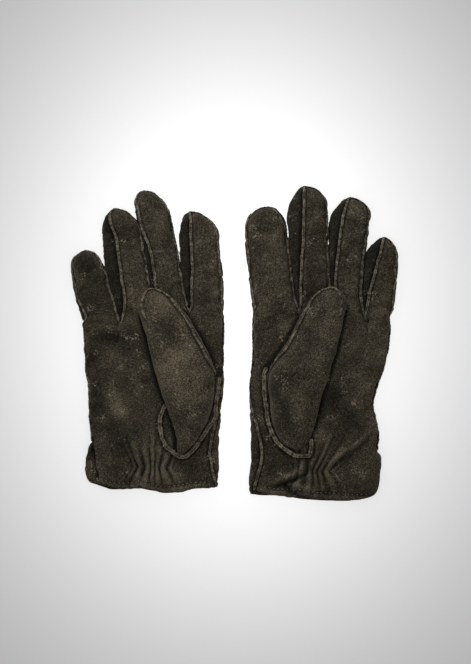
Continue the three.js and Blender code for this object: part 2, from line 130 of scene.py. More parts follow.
RIGHT = {
    "outer": "left",
    "palm_left": [(-122, -103.5), (-120, -107.6), (-116, -110), (-108, -112.2), (-100, -113.6),
                  (-84, -116.6), *RIGHT_SEWN],
    "back_left": [(-121, -110), (-117, -117), (-112, -121), (-104, -122.4), (-93, -121.8), (-86, -119),
                  (-82, -117), *RIGHT_SEWN],
    "right_edge": [(-122, -11.6), (-100, -11.4), (-80, -11.2), (-57, -10.8), (-45, -8.3), (-26, -7.6),
                   (20, -7.5)],
    "hem": [(0, -113.4), (0.12, -119.6), (0.35, -118.4), (0.52, -122.4), (0.62, -121.4), (0.8, -117.8),
            (1, -117.4)],
    "vent_top": -82,
    "crotches": [(-94.4, 15.7), (-62.9, 31), (-35.6, 26.5)],
    "knuckle_ends": [(-123.4, 13), (-7.8, 20)],
    "seam_lift": [(-122, 4), (-112, 6), (-103, 8.5), (-90, 11), (-76, 9), (-60, 5), (-50, 3),
                  (-20, 2), (20, 2)],
    "gather": {"left": -83, "right": -50, "y": -102, "fold": 4.7, "lean": 0.0},
    "fingers": {
        "little": {
            "path": [(-105.6, 10), (-116.2, 45), (-121.6, 77.6)], "width": [29.8, 29.5, 28],
            "domes": (13, 22), "lean": 0.02,
            "front_left": [-0.6, -0.72, -0.9, -0.95, -0.96],
            "front_right": [0.92, 0.92, 0.93, 0.93, 0.96],
            "back_right": 340,
        },
        "ring": {
            "path": [(-78.5, 17), (-87.6, 60), (-94.4, 112)], "width": [31.5, 34.6, 32],
            "domes": (19, 23), "lean": -0.2,
            "front_left": [-0.72, -0.34, -0.28, -0.3, -0.75],
            "front_right": [0.9, 0.94, 0.94, 0.93, 0.96],
            "back_left": 200, "back_right": 340,
        },
        "middle": {
            "path": [(-49.4, 22), (-57.6, 66), (-69.6, 127.4)], "width": [28, 28, 27.4],
            "domes": (11, 25), "lean": -0.35,
            "front_left": [-0.8, -0.68, -0.55, -0.86, -0.93],
            "front_right": [0.8, 0.88, 0.92, 0.93, 0.96],
            "back_left": 200, "back_right": 340,
        },
        "index": {
            "path": [(-21.6, 16), (-26.6, 62), (-28.8, 109.8)], "width": [29, 33.8, 31.6],
            "domes": (23, 23), "lean": -0.45,
            "front_left": [-0.82, -0.6, -0.4, -0.42, -0.45],
            "front_right": [0.93, 0.94, 0.94, 0.94, 0.96],
            "back_left": 200,
        },
    },
    "thumb": {
        "fold": [(-44.7, -89.4), (-46.8, -79), (-50.2, -66), (-53.8, -53.8), (-60.4, -35.6),
                 (-66.2, -14.1), (-71.2, 5.8), (-76.6, 24), (-78.4, 31)],
        "seam": [(-40.6, -93), (-28.5, -81.5), (-19.6, -67), (-14.6, -52), (-12.6, -27.5), (-19, -9.5),
                 (-28, 5.8), (-38, 24), (-41.5, 30)],
        "tip": 14.2, "domes": (12, 26), "lean": -0.32,
    },
    "welt": [(-55.8, -49.6), (-58.8, -57), (-60.4, -66), (-58.6, -76), (-54.4, -85), (-44, -92.6),
             (-35.6, -90), (-25, -76.5), (-17, -62), (-13.4, -46.4), (-12.0, -27)],
    "thumb_crotch": (-12.6, -26.5),
    "creases": [
        ([(-120, 10), (-110, 5), (-95, 4), (-73, 8)], 5, -1.7),
        ([(-112, 16), (-98, 13), (-84, 15)], 5, 0.9),
        ([(-112, -44), (-97, -70), (-82, -96)], 6, -1.5),
        ([(-101, -38), (-88, -66), (-78, -86)], 5, 1.2),
        ([(-119, 8), (-116, -20), (-112, -62)], 9, -1.6),
        ([(-97, -114), (-90, -99), (-86, -84)], 9, -1.7),
        ([(-30, -97), (-24, -108), (-26, -116)], 4, -1.0),
    ],
    # Patches of painted light and painted shade on the hand and fingers.
    "painted_light_and_tone": [(-124, 66, 11, -1.6), (-113, 30, 12, -1.0), (-93, 91, 13, -0.9), (-121, -10, 9, -1.0),
            (-120, -34, 9, -0.9), (-119, -58, 9, -0.5), (-82, 5, 11, -0.8), (-86, -104, 12, -0.5),
            (-100, 10, 9, -0.3), (-24, 38, 9, -0.6), (-22, 94, 11, 0.5), (-9, 44, 8, 0.5),
            (-11, 14, 9, 0.8), (-11, -72, 9, 0.7), (-20, -70, 9, 0.4), (-100, -56, 12, 0.5)],
    # Patches of painted light and painted shade on the thumb.
    "thumb_painted_light": [(-59, 38, 10, 0.8), (-46, -12, 13, 0.7), (-51, -32, 12, 0.6), (-27, -26, 10, 0.5),
                  (-43, -52, 10, -0.6)],
    "thumb_creases": [
        ([(-28, -42), (-20, -35), (-13, -30)], 2.6, -1.6),
        ([(-49, -66), (-40, -52), (-33, -36)], 8, 1.2),
        ([(-60, 10), (-50, 2), (-38, -4)], 6, -0.9),
        ([(-66, 36), (-56, 34), (-46, 24)], 7, 1.0),
    ],
}
LEFT = {
    "outer": "right",
    "left_edge": [(-128, 11.0), (-108, 12.6), (-89, 14.6), (-68, 14.8), (-50, 13), (-30, 10.9),
                  (-6, 14.2), (18, 16.8)],
    "palm_right": [(-130, 111), (-127, 117), (-122, 121.4), (-116, 123), (-108, 123.8), (-95, 124.2),
                   (-91, 123), (-87, 119.8), *LEFT_SEWN],
    "back_right": [(-130, 104), (-126, 110), (-120, 115), (-108, 117.5), (-94, 119), (-88, 118.8),
                   *LEFT_SEWN],
    "hem": [(0, -120), (0.1, -122.6), (0.2, -124), (0.38, -124.6), (0.5, -127), (0.8, -129.3),
            (0.92, -129.5), (1, -126)],
    "vent_top": -88,
    "crotches": [(54.6, 26.5), (82.8, 31), (111, 19.9)],
    "knuckle_ends": [(16.8, 18), (129.4, 18)],
    "seam_lift": [(-128, 7), (-112, 9), (-98, 12), (-85, 11.5), (-72, 9), (-60, 5.5), (-45, 3), (18, 2)],
    "gather": {"left": 50, "right": 84, "y": -105, "fold": 5.0, "lean": 0.4},
    "fingers": {
        "index": {
            "path": [(37.2, 18), (30.4, 62), (25.8, 113)], "width": [35, 35.6, 34.6],
            "domes": (16, 21), "lean": 0.2,
            "front_left": [-0.94, -0.94, -0.94, -0.94, -0.96],
            "front_right": [0.95, 0.95, 0.94, 0.9, 0.8],
            "back_right": 345,
        },
        "middle": {
            "path": [(69.5, 22), (63.4, 66), (61.2, 130.4)], "width": [31, 33.2, 33],
            "domes": (29, 18), "lean": -0.17,
            "front_left": [-0.85, -0.6, -0.33, -0.22, -0.17],
            "front_right": [0.8, 0.88, 0.94, 0.94, 0.96],
            "back_left": 200, "back_right": 340,
        },
        "ring": {
            "path": [(97.2, 20), (93.8, 62), (97.4, 121)], "width": [27, 31, 33.8],
            "domes": (29, 15), "lean": -0.08,
            "front_left": [-0.8, -0.68, -0.5, -0.4, -0.3],
            "front_right": [0.62, 0.76, 0.86, 0.93, 0.96],
            "back_left": 200, "back_right": 340,
        },
        "little": {
            "path": [(118, 12), (120.4, 50), (122.4, 88.2)], "width": [25, 28, 29],
            "domes": (27, 17), "lean": 0.15,
            "front_left": [-0.8, -0.66, -0.4, -0.15, 0.1],
            "front_right": [0.88, 0.9, 0.94, 0.94, 0.96],
            "back_left": 200,
        },
    },
    "thumb": {
        "fold": [(62.1, -80.3), (66, -68), (69.6, -57.1), (74, -42), (78.7, -26.5), (87, 2.5), (91.5, 24),
                 (93, 31)],
        "seam": [(50, -90), (37, -81.5), (29.5, -66), (26.8, -50), (27.5, -24), (43, 0), (53, 18),
                 (59, 31)],
        "tip": 14.6, "domes": (13, 21), "lean": -0.13,
    },
    "welt": [(27.3, -19), (25.7, -35.6), (27.3, -49.7), (30, -68), (39, -83.6), (51.3, -91),
             (62.5, -91.5), (64.8, -87), (64.6, -78)],
    "thumb_crotch": (27.0, -21.0),
    "creases": [
        ([(77, -99), (94, -87), (111, -74)], 1.6, 1.5),
        ([(79, -102), (97, -90), (113, -78)], 1.6, -1.3),
        ([(32, -115), (43, -110), (53, -105), (60, -97)], 2.3, 2.4),
        ([(33, -118.5), (44, -114), (55, -109.5), (64, -102)], 1.7, -3.2),
        ([(42, -113), (45.5, -119.5), (53, -124), (64, -127.5)], 2.2, -4.2),
        ([(49, -114), (57, -118.5), (70, -122)], 2.6, 2.0),
        ([(102, 12), (96, 0), (100, -20)], 6, -0.6),
        ([(112, -30), (104, -46), (110, -66)], 6, 1.2),
        ([(90, -10), (86, -34), (78, -60)], 7, -0.7),
    ],
    # Patches of painted light and painted shade on the hand and fingers.
    "painted_light_and_tone": [(33, -81, 12, -0.9), (18, -90, 10, -0.9), (46, -106, 10, -0.9), (61, -116, 10, -0.6),
            (64, 32, 10, -0.8), (62, 82, 10, -0.8), (96, -66, 13, -0.9), (79, -66, 10, -0.6),
            (22, -50, 9, -0.4), (92, 62, 9, -0.5), (33, 62, 9, -0.3), (34, 84, 12, 0.6),
            (46, 42, 10, 0.8), (93, 21, 12, 0.9), (87, 35, 9, 0.4), (85, -8, 12, 0.7),
            (121, -4, 12, 0.8), (116, -72, 10, 0.6)],
    # Patches of painted light and painted shade on the thumb.
    "thumb_painted_light": [(39, -31, 12, -0.9), (50, -30, 10, -0.5), (38, -66, 10, -0.4), (82, 34, 9, 0.5)],
    "thumb_creases": [
        ([(34, -38), (43, -56), (47, -70)], 4.5, -1.7),
        ([(35, -28), (33, -52), (40, -76)], 8, -1.3),
        ([(52, -34), (55, -52), (54, -68)], 6, 1.3),
        ([(58, 14), (66, 4), (76, 0)], 6, -0.9),
    ],
}
GLOVES = {"right": RIGHT, "left": LEFT}


# ------------------------------------------------------------------ small helpers
def smoothstep(x, low, high):
    t = np.clip((np.asarray(x, float) - low) / (high - low), 0, 1)
    return t * t * (3 - 2 * t)


def lerp(a, b, t):
    return a + (b - a) * t


def through(points, count=240):
    """A smooth curve through plan or space points, evenly spaced along its length."""
    p = np.array(points, float)
    p = np.vstack([2 * p[0] - p[1], p, 2 * p[-1] - p[-2]])
    t = np.linspace(0, 1, 24, endpoint=False)[:, None]
    spans = []
    for a, b, c, d in zip(p[:-3], p[1:-2], p[2:-1], p[3:]):
        spans.append(0.5 * (2 * b + (c - a) * t + (2 * a - 5 * b + 4 * c - d) * t**2
                            + (3 * b - a - 3 * c + d) * t**3))
    return evenly(np.vstack([*spans, p[-2]]), count)


def evenly(points, count):
    """The same polyline as count points, evenly spaced along its length."""
    at = gone_along(points)
    wanted = np.linspace(0, at[-1], count)
    return np.stack([np.interp(wanted, at, column) for column in points.T], axis=1)


def gone_along(points):
    """How far along a polyline each of its points lies."""
    return np.concatenate([[0], np.cumsum(np.linalg.norm(np.diff(points, axis=0), axis=1))])


def bell(away, width):
    return np.exp(-((away / width) ** 2))


def plateau(away, half, width):
    """1 up to half away from a line, then falling off softly."""
    return bell(np.maximum(away - half, 0), width)


def unit(vectors):
    return vectors / np.maximum(np.linalg.norm(vectors, axis=-1, keepdims=True), 1e-12)


def square_to(vectors, axes):
    """What is left of the vectors at right angles to the axes."""
    return vectors - axes * (vectors * axes).sum(axis=1, keepdims=True)


def flattened(points):
    return np.column_stack([points[:, :2], np.zeros(len(points))])


def moving_mean(values, weights):
    padded = np.pad(values, len(weights) // 2, mode="edge")
    return np.convolve(padded, weights / weights.sum(), mode="valid")


def softened(pairs, at, spread=2.5):
    """The value of a list of (at, value) pairs, with its corners rounded off."""
    x, y = np.array(list(pairs), float).T
    return sum(np.interp(at + shift * spread, x, y) for shift in (-1, -0.5, 0, 0.5, 1)) / 5


class Section:
    """A rounded box, pressed flat underneath, measured by its share of the way round."""

    def __init__(self, half_width, squareness, half_depth):
        angle = np.linspace(0, 2 * math.pi, SECTION_POINTS)
        bend = 2 / squareness
        side = np.sign(np.cos(angle)) * np.abs(np.cos(angle)) ** bend
        rise = np.sign(np.sin(angle)) * np.abs(np.sin(angle)) ** bend
        rise = np.maximum(np.where(rise < 0, rise * FLOOR_FLATNESS, rise), -1)
        gone = np.hypot(np.diff(side) * half_width, np.diff(rise) * half_depth)
        share = np.concatenate([[0], np.cumsum(gone)])
        self.perimeter, self.squareness = share[-1], squareness
        self.angle, self.side, self.rise, self.share = angle, side, rise, share / share[-1]

    def share_at(self, degrees):
        turns = np.floor(np.asarray(degrees, float) / 360)
        return turns + np.interp(np.radians(degrees - turns * 360), self.angle, self.share)

    def share_over(self, side):
        """Share of the way round to a place on top, from its side as a share of the half-width."""
        cosine = math.copysign(abs(side) ** (self.squareness / 2), side)
        return self.share_at(math.degrees(math.acos(cosine)))

    def at(self, share):
        share = np.asarray(share, float) % 1
        return np.interp(share, self.share, self.side), np.interp(share, self.share, self.rise)


def fractal(points, size, octaves=3, seed=0.0):
    """Smooth noise of about unit height, with bumps of the given size."""
    shift = Vector((seed, -seed, 2 * seed))
    return np.array([
        sum(noise.noise(Vector(p) / size * 2**k + shift) / 2**k for k in range(octaves)) for p in points
    ])


def swelled(swells, points, seed):
    return sum(height * fractal(points, size, 2, seed + own) for size, height, own in swells)


def quads_of(numbers):
    """The four-cornered faces of a grid of vertex numbers."""
    corners = [numbers[:-1, :-1], numbers[:-1, 1:], numbers[1:, 1:], numbers[1:, :-1]]
    return np.stack(corners, axis=-1).reshape(-1, 4)


def numbered(shape):
    return np.arange(shape[0] * shape[1]).reshape(shape)


# ------------------------------------------------------------------ a glove's welded skin
class Skin:
    """Vertices shared by panels, each a grid of vertex numbers."""

    def __init__(self):
        self.blocks, self.count = [], 0
        self.grids, self.flipped = {}, set()

    def add(self, points):
        first = self.count
        self.blocks.append(points.reshape(-1, 3))
        self.count += len(self.blocks[-1])
        return np.arange(first, self.count).reshape(points.shape[:-1])

    def panel(self, name, grid, flip=False):
        self.grids[name] = grid
        if flip:
            self.flipped.add(name)

    def vertices(self):
        return np.concatenate(self.blocks)

    def faces(self, names, step=1):
        found = []
        for name in names:
            quads = quads_of(self.grids[name][::step, ::step])
            found.append(quads[:, ::-1] if name in self.flipped else quads)
        return np.concatenate(found)


def normals_of(vertices, faces):
    a, b, c, d = (vertices[faces[:, k]] for k in range(4))
    across = np.cross(c - a, d - b)
    total = np.zeros_like(vertices)
    for k in range(4):
        np.add.at(total, faces[:, k], across)
    return unit(total)


def hand_edges(glove, y, face):
    left = glove.get("left_edge") or glove[f"{face}_left"]
    right = glove.get("right_edge") or glove[f"{face}_right"]
    return softened(left, y) + SEAM_ROOM, softened(right, y) - SEAM_ROOM


def root_row(glove, face):
    """The row where the palm or the back divides into fingers, with one crown for each finger."""
    crotch = CROTCH_HEIGHT[face]
    level = HAND_DEPTH if face == "front" else 0.15
    ends = glove["knuckle_ends"]
    slope = 0 if face == "front" else CROTCH_SLOPE
    crotches = [(x, y + slope, crotch) for x, y in glove["crotches"]]
    stops = [(*ends[0], HAND_DEPTH / 2), *crotches, (*ends[1], HAND_DEPTH / 2)]
    rows = []
    for a, b in zip(stops, stops[1:]):
        share = np.linspace(0, 1, FINGER_COLUMNS + 1)
        crowded = (1 - np.cos(share * math.pi)) / 2  # the columns lie closer beside the crotches
        share = lerp(share, crowded, 0.55)[:, None]
        points = lerp(np.array(a), np.array(b), share)
        crown = (1 - np.abs(2 * share[:, 0] - 1) ** 2.4) ** (1 / 2.4)
        points[:, 2] = lerp(points[:, 2], level, crown)
        rows.append(points)
    return np.vstack([r[:-1] for r in rows] + [rows[-1][-1:]])


def hand_grid(glove, face):
    """The palm or the back, from the hem to the row where the fingers begin."""
    columns = 4 * FINGER_COLUMNS
    section = Section(*HAND_SECTION, HAND_DEPTH / 2)
    root = root_row(glove, "front" if face == "palm" else "back")
    outer_left = glove["outer"] == "left"
    across = np.linspace(0, 1, columns + 1)
    hem_y = np.interp(across, *np.array(glove["hem"]).T)
    hem_y = moving_mean(hem_y, np.hanning(15))
    share = np.linspace(0, 1, HAND_ROWS + 1)[:, None]
    y = lerp(hem_y, root[:, 1], share)
    left, right = hand_edges(glove, y, face)
    lift = np.interp(y, *np.array(glove["seam_lift"]).T) / section.perimeter
    middle = section.share_at(180)
    from_left = middle if outer_left else middle - lift
    to_right = lift if outer_left else 0 * lift
    around = lerp(from_left, to_right if face == "palm" else 1 + to_right, across)
    side, rise = section.at(around)
    x = (left + right) / 2 + side * (right - left) / 2
    z = HAND_DEPTH / 2 * (1 + rise)
    x = lerp(x, root[:, 0], smoothstep(share, 0.4, 1))
    z = lerp(z, root[:, 2], smoothstep(share, 0.66, 1))
    open_edge = np.abs(across - (0 if outer_left else 1))
    below = smoothstep(glove["vent_top"] - y, 0, 22)
    droop = below * bell(open_edge, 0.09)
    if face == "palm":
        z = z - droop * 1.6
    else:
        z = lerp(z, np.minimum(z, 1.0), droop)
    return np.stack([x, y, z], axis=-1)


def tapered(side, reach, length, domes, lean):
    """Sides of a row as shares of the half-width, drawn in towards the tip near the end of its length.

    A short dome is round and a long one more pointed.
    """
    tapers = []
    for dome in domes:
        gone = min(max(reach - length + dome, 0) / dome, 1)
        tapers.append((1 - gone**2) ** (0.5 + max(dome - 15, 0) / 60))
    taper = lerp(*tapers, smoothstep(side, -0.8, 0.8))
    return taper * side + (1 - taper) * lean


class Tube:
    """A finger: a rounded section along a path, closed by a dome."""

    def __init__(self, spec):
        self.path = through(spec["path"])
        self.length = gone_along(self.path)[-1]
        self.widths, self.lean, self.domes = spec["width"], spec["lean"], spec["domes"]
        self.dome = self.widths[2] / 2
        self.straight = self.length - self.dome
        self.section = Section(*FINGER_SECTION, FINGER_DEPTH / 2)
        rows = 2 * round(self.straight / FINGER_ROW / 2)
        self.rows = [(d, 0.0) for d in np.linspace(0, self.straight, rows + 1)]
        self.rows += [(self.straight, t) for t in np.linspace(0, math.pi / 2, DOME_ROWS + 1)[1:]]

    def frame(self, distance):
        at = distance / self.length * (len(self.path) - 1)
        places = np.arange(len(self.path))
        centre = np.array([np.interp(at, places, column) for column in self.path.T])
        ahead = np.array([np.interp(at, places, column) for column in np.gradient(self.path, axis=0).T])
        ahead /= np.linalg.norm(ahead)
        return centre, np.array([ahead[1], -ahead[0]])

    def ring(self, distance, turn, around):
        """Points of one row, at shares of the way round."""
        reach = distance + self.dome * math.sin(turn)
        taper = math.cos(turn) ** 0.92
        width = np.interp(reach, [0, self.straight / 2, self.straight], self.widths)
        depth = FINGER_DEPTH * lerp(1, 0.92, float(smoothstep(reach, 0, self.length)))
        centre, lateral = self.frame(reach)
        side, rise = self.section.at(around)
        across = width / 2 * tapered(side, reach, self.length, self.domes, self.lean)
        plan = centre + lateral * across[:, None]
        middle = lerp(depth / 2, FINGER_DEPTH * 0.40, math.sin(turn) ** 2)
        return np.column_stack([plan, middle + depth / 2 * taper * rise])


def finger_panels(tube, spec):
    """Grids of the front, the back and the two sides, rows from the root to the tip."""
    grids = {name: [] for name in ("front", "back", "left", "right")}
    stations = np.linspace(0, 1, len(spec["front_left"]))
    wide, narrow = np.linspace(0, 1, FINGER_COLUMNS + 1), np.linspace(0, 1, SIDE_COLUMNS + 1)
    for distance, turn in tube.rows:
        reach = (distance + tube.dome * math.sin(turn)) / tube.length
        front_left, front_right = (
            tube.section.share_over(softened(zip(stations, spec[seam]), reach, 0.04))
            for seam in ("front_left", "front_right")
        )
        back_left, back_right = front_left, 1 + front_right
        if "back_left" in spec:
            back_left = tube.section.share_at(spec["back_left"])
        if "back_right" in spec:
            back_right = tube.section.share_at(spec["back_right"])
        grids["front"].append(tube.ring(distance, turn, lerp(front_left, front_right, wide)))
        grids["back"].append(tube.ring(distance, turn, lerp(back_left, back_right, wide)))
        grids["left"].append(tube.ring(distance, turn, lerp(front_left, back_left, narrow)))
        grids["right"].append(tube.ring(distance, turn, lerp(1 + front_right, back_right, narrow)))
    return {name: np.array(rows) for name, rows in grids.items()}


def grown_from(grid, root, tube, beside=(1, 1)):
    """The grid pulled onto its root row, fading out along the finger.

    Beside a crotch it fades sooner sideways, so that two seams part in a U and not in a V.
    """
    distances = np.array([d + tube.dome * math.sin(t) for d, t in tube.rows])
    fade = 1 - smoothstep(distances, 0, ROOT_REACH)
    arch = 1 - np.sqrt(1 - (1 - np.clip(distances / CROTCH_RADIUS, 0, 1)) ** 2)
    opening = CROTCH_OPENING * np.linspace(*beside, grid.shape[1])
    sideways = lerp(fade[:, None], np.minimum(fade, arch)[:, None], opening)
    lengthways = np.repeat(fade[:, None], grid.shape[1], axis=1)
    return grid + (root - grid[0]) * np.stack([sideways, lengthways, lengthways], axis=-1)


def crotch_edge(glove, number):
    x, y = glove["crotches"][number]
    down = np.linspace(0, 1, SIDE_COLUMNS + 1)
    heights = lerp(CROTCH_HEIGHT["front"], CROTCH_HEIGHT["back"], down)
    return np.column_stack([np.full_like(down, x), y + CROTCH_SLOPE * down, heights])


def glove_skin(glove):
    """The hand and its fingers, without the thumb."""
    skin = Skin()
    palm_points, back_points = hand_grid(glove, "palm"), hand_grid(glove, "back")
    palm, back = skin.add(palm_points), skin.add(back_points)
    outer, inner = (0, -1) if glove["outer"] == "left" else (-1, 0)
    sewn = palm_points[:, outer, 1] > glove["vent_top"]
    back[sewn, outer] = palm[sewn, outer]
    back[:, inner] = palm[:, inner]
    skin.panel("palm", palm)
    skin.panel("back", back, flip=True)
    edges = [skin.add(crotch_edge(glove, k)) for k in range(3)]
    for k, edge in enumerate(edges):
        column = (k + 1) * FINGER_COLUMNS
        edge[0], edge[-1] = palm[-1, column], back[-1, column]
    for k, (name, spec) in enumerate(glove["fingers"].items()):
        tube = Tube(spec)
        span = slice(k * FINGER_COLUMNS, (k + 1) * FINGER_COLUMNS + 1)
        points = skin.vertices()
        grids = finger_panels(tube, spec)
        roots = {"front": palm[-1, span], "back": back[-1, span]}
        if k > 0:
            roots["left"] = edges[k - 1]
        if k < 3:
            roots["right"] = edges[k]
        numbers = {}
        for part, root in roots.items():
            beside = (k > 0, k < 3) if part in ("front", "back") else (1, 1)
            numbers[part] = skin.add(grown_from(grids[part], points[root], tube, beside))
            numbers[part][0] = root
        for part, column in (("left", 0), ("right", -1)):
            if part in numbers:
                numbers[part][:, 0] = numbers["front"][:, column]
                numbers[part][:, -1] = numbers["back"][:, column]
            else:
                numbers["back"][:, column] = numbers["front"][:, column]
        for grid in numbers.values():
            grid[-1] = numbers["front"][-1, 0]
        skin.panel(f"{name}_front", numbers["front"])
        skin.panel(f"{name}_back", numbers["back"], flip=True)
        if "left" in numbers:
            skin.panel(f"{name}_left", numbers["left"], flip=True)
        if "right" in numbers:
            skin.panel(f"{name}_right", numbers["right"])
    return skin


# ------------------------------------------------------------------ meshes
def without_repeats(faces):
    """The faces as lists, without the corners that fall together at a fingertip."""
    return [[v for k, v in enumerate(face) if v != face[k - 1]] for face in faces]


def put_in_scene(name, content):
    made = bpy.data.objects.new(name, content)
    bpy.context.scene.collection.objects.link(made)
    return made


def object_of(name, vertices, faces, material):
    mesh = bpy.data.meshes.new(name)
    plan = (np.asarray(vertices) - PLAN_CENTRE) * MM
    plan[:, 2] = np.maximum(plan[:, 2], CLEAR_OF_FLOOR * MM)
    mesh.from_pydata(plan.tolist(), [], faces)
    mesh.update()
    mesh.shade_smooth()
    mesh.materials.append(material)
    piece = put_in_scene(name, mesh)
    rest = mesh.attributes.new("rest_place", "FLOAT_VECTOR", "POINT")
    rest.data.foreach_set("vector", plan.astype(np.float32).ravel())
    return piece


def add_tint(piece, values):
    shade = piece.data.attributes.new("tint", "FLOAT", "POINT")
    shade.data.foreach_set("value", np.asarray(values, np.float32).ravel())


def shell(name, vertices, faces, normals, material, thickness=LEATHER, tint=None):
    """A panel of leather: the faces, the same faces further in, and the cut edge between them."""
    used = np.unique(faces)
    number = np.full(len(vertices), -1)
    number[used] = np.arange(len(used))
    outer = number[faces]
    count = len(used)
    inner = outer[:, ::-1] + count
    edges = np.concatenate([outer[:, [k, (k + 1) % 4]] for k in range(4)])
    edges = edges[edges[:, 0] != edges[:, 1]]
    ways = {(a, b) for a, b in edges.tolist()}
    rim = [(b, a, a + count, b + count) for a, b in ways if (b, a) not in ways]
    rim.sort()
    points = np.vstack([vertices[used], vertices[used] - normals[used] * thickness])
    polygons = without_repeats([*outer.tolist(), *inner.tolist(), *rim])
    piece = object_of(name, points, polygons, material)
    mesh = piece.data
    smooth = np.vstack([normals[used], -normals[used]])
    loops = np.zeros(len(mesh.loops), int)
    mesh.loops.foreach_get("vertex_index", loops)
    custom = smooth[loops]
    for face in mesh.polygons[len(outer) + len(inner):]:
        for loop in face.loop_indices:
            custom[loop] = face.normal
    mesh.normals_split_custom_set(custom.tolist())
    if tint is not None:
        add_tint(piece, np.tile(tint[used], 2))
    return piece


# ------------------------------------------------------------------ shaping the leather
def seam_lines(glove, skin):
    """Vertex numbers along every seam: front and back of each finger, and the sides of the hand."""
    lines = {}
    for finger in glove["fingers"]:
        front, back = skin.grids[f"{finger}_front"], skin.grids[f"{finger}_back"]
        lines[f"{finger}_front"] = np.concatenate([front[:, 0], front[-2::-1, -1]])
        sides = [side for side in ("left", "right") if f"{finger}_{side}" in skin.grids]
        if len(sides) == 2:
            lines[f"{finger}_back"] = np.concatenate([back[:, 0], back[-2::-1, -1]])
        else:
            lines[f"{finger}_back"] = back[:, 0 if sides == ["left"] else -1]
    palm, back = skin.grids["palm"], skin.grids["back"]
    for side, column in (("left", 0), ("right", -1)):
        lines[f"hand_{side}"] = palm[palm[:, column] == back[:, column], column]
    return lines


def nearest(points, targets):
    """How far each point is from the nearest target, and that target's number."""
    tree = kdtree.KDTree(len(targets))
    for k, target in enumerate(targets):
        tree.insert(target, k)
    tree.balance()
    found = [tree.find(p) for p in points]
    return np.array([f[2] for f in found]), np.array([f[1] for f in found])


def cloth_settled(points, faces, held):
    """Where a cloth simulation leaves the points when the leather is longer than its held seams."""
    mesh = bpy.data.meshes.new("slack")
    mesh.from_pydata((points * MM).tolist(), [], without_repeats(faces.tolist()))
    cloth, scene = put_in_scene("slack", mesh), bpy.context.scene
    cloth.vertex_groups.new(name="held").add(held.tolist(), 1.0, "REPLACE")
    modifier = cloth.modifiers.new("slack", "CLOTH")
    modifier.settings.quality = 6
    modifier.settings.vertex_group_mass = "held"
    modifier.settings.shrink_min = -SLACK
    modifier.settings.bending_stiffness = 0.3
    modifier.settings.use_pressure = True
    modifier.settings.uniform_pressure_force = 1.5
    modifier.settings.effector_weights.gravity = 0
    modifier.collision_settings.use_collision = False
    modifier.collision_settings.use_self_collision = False
    for moment in range(1, SLACK_FRAMES + 1):
        scene.frame_set(moment)
    evaluated = cloth.evaluated_get(bpy.context.evaluated_depsgraph_get())
    settled = np.zeros(3 * len(points))
    evaluated.data.vertices.foreach_get("co", settled)
    bpy.data.objects.remove(cloth)
    scene.frame_set(1)
    return settled.reshape(-1, 3) / MM


def between(values):
    """The rows of a grid of values, with one more on a smooth curve between each two."""
    padded = np.concatenate([2 * values[:1] - values[1:2], values, 2 * values[-1:] - values[-2:-1]])
    finer = np.empty((2 * len(values) - 1, *values.shape[1:]))
    finer[::2] = values
    finer[1::2] = (9 * (padded[1:-2] + padded[2:-1]) - padded[:-3] - padded[3:]) / 16
    return finer


def slackened(glove, skin, points):
    """The skin's points after a cloth simulation on every other row and column.

    The seams and the underside are held, and the slack leather between them buckles softly.
    """
    faces = skin.faces(list(skin.grids), step=2)
    used = np.unique(faces)
    number = np.full(len(points), -1)
    number[used] = np.arange(len(used))
    seams = np.concatenate(list(seam_lines(glove, skin).values()))
    held = number[np.union1d(seams, used[points[used, 2] < HELD_BELOW])]
    shift = np.zeros_like(points)
    shift[used] = cloth_settled(points[used], number[faces], held[held >= 0]) - points[used]
    size = np.linalg.norm(shift, axis=1, keepdims=True)
    shift *= np.tanh(size / SLACK_LIMIT) * SLACK_LIMIT / np.maximum(size, 1e-9)
    for grid in skin.grids.values():
        finer = between(shift[grid[::2, ::2]])
        shift[grid] = between(finer.swapaxes(0, 1)).swapaxes(0, 1)
    return points + shift


def nearest_in_plan(points, targets):
    """As nearest, but with everything laid flat on the table."""
    return nearest(flattened(points), flattened(targets))


def outer_column(glove):
    return 0 if glove["outer"] == "left" else -1


def vent_rows(glove, skin):
    """How many rows of the hand the vent leaves open on its outer side."""
    column = outer_column(glove)
    return int((skin.grids["palm"][:, column] != skin.grids["back"][:, column]).sum())


def cuff_edge(glove, skin, face):
    """Vertex numbers round the free edge of the palm's or the back's cuff, vent included."""
    grid = skin.grids[face]
    free = grid[1:vent_rows(glove, skin), outer_column(glove)]
    if glove["outer"] == "left":
        return np.concatenate([free[::-1], grid[0]])
    return np.concatenate([grid[0], free])


def stitch_line(glove, skin, face):
    """Vertex numbers of the row of stitches along the hem and up the open side of the vent."""
    grid = skin.grids[face]
    up, across = grid[HEM_ROW:vent_rows(glove, skin)], grid[HEM_ROW]
    if glove["outer"] == "left":
        return np.concatenate([up[:0:-1, HEM_ROW], across[HEM_ROW:-1]])
    return np.concatenate([across[1:-HEM_ROW], up[1:, -HEM_ROW - 1]])


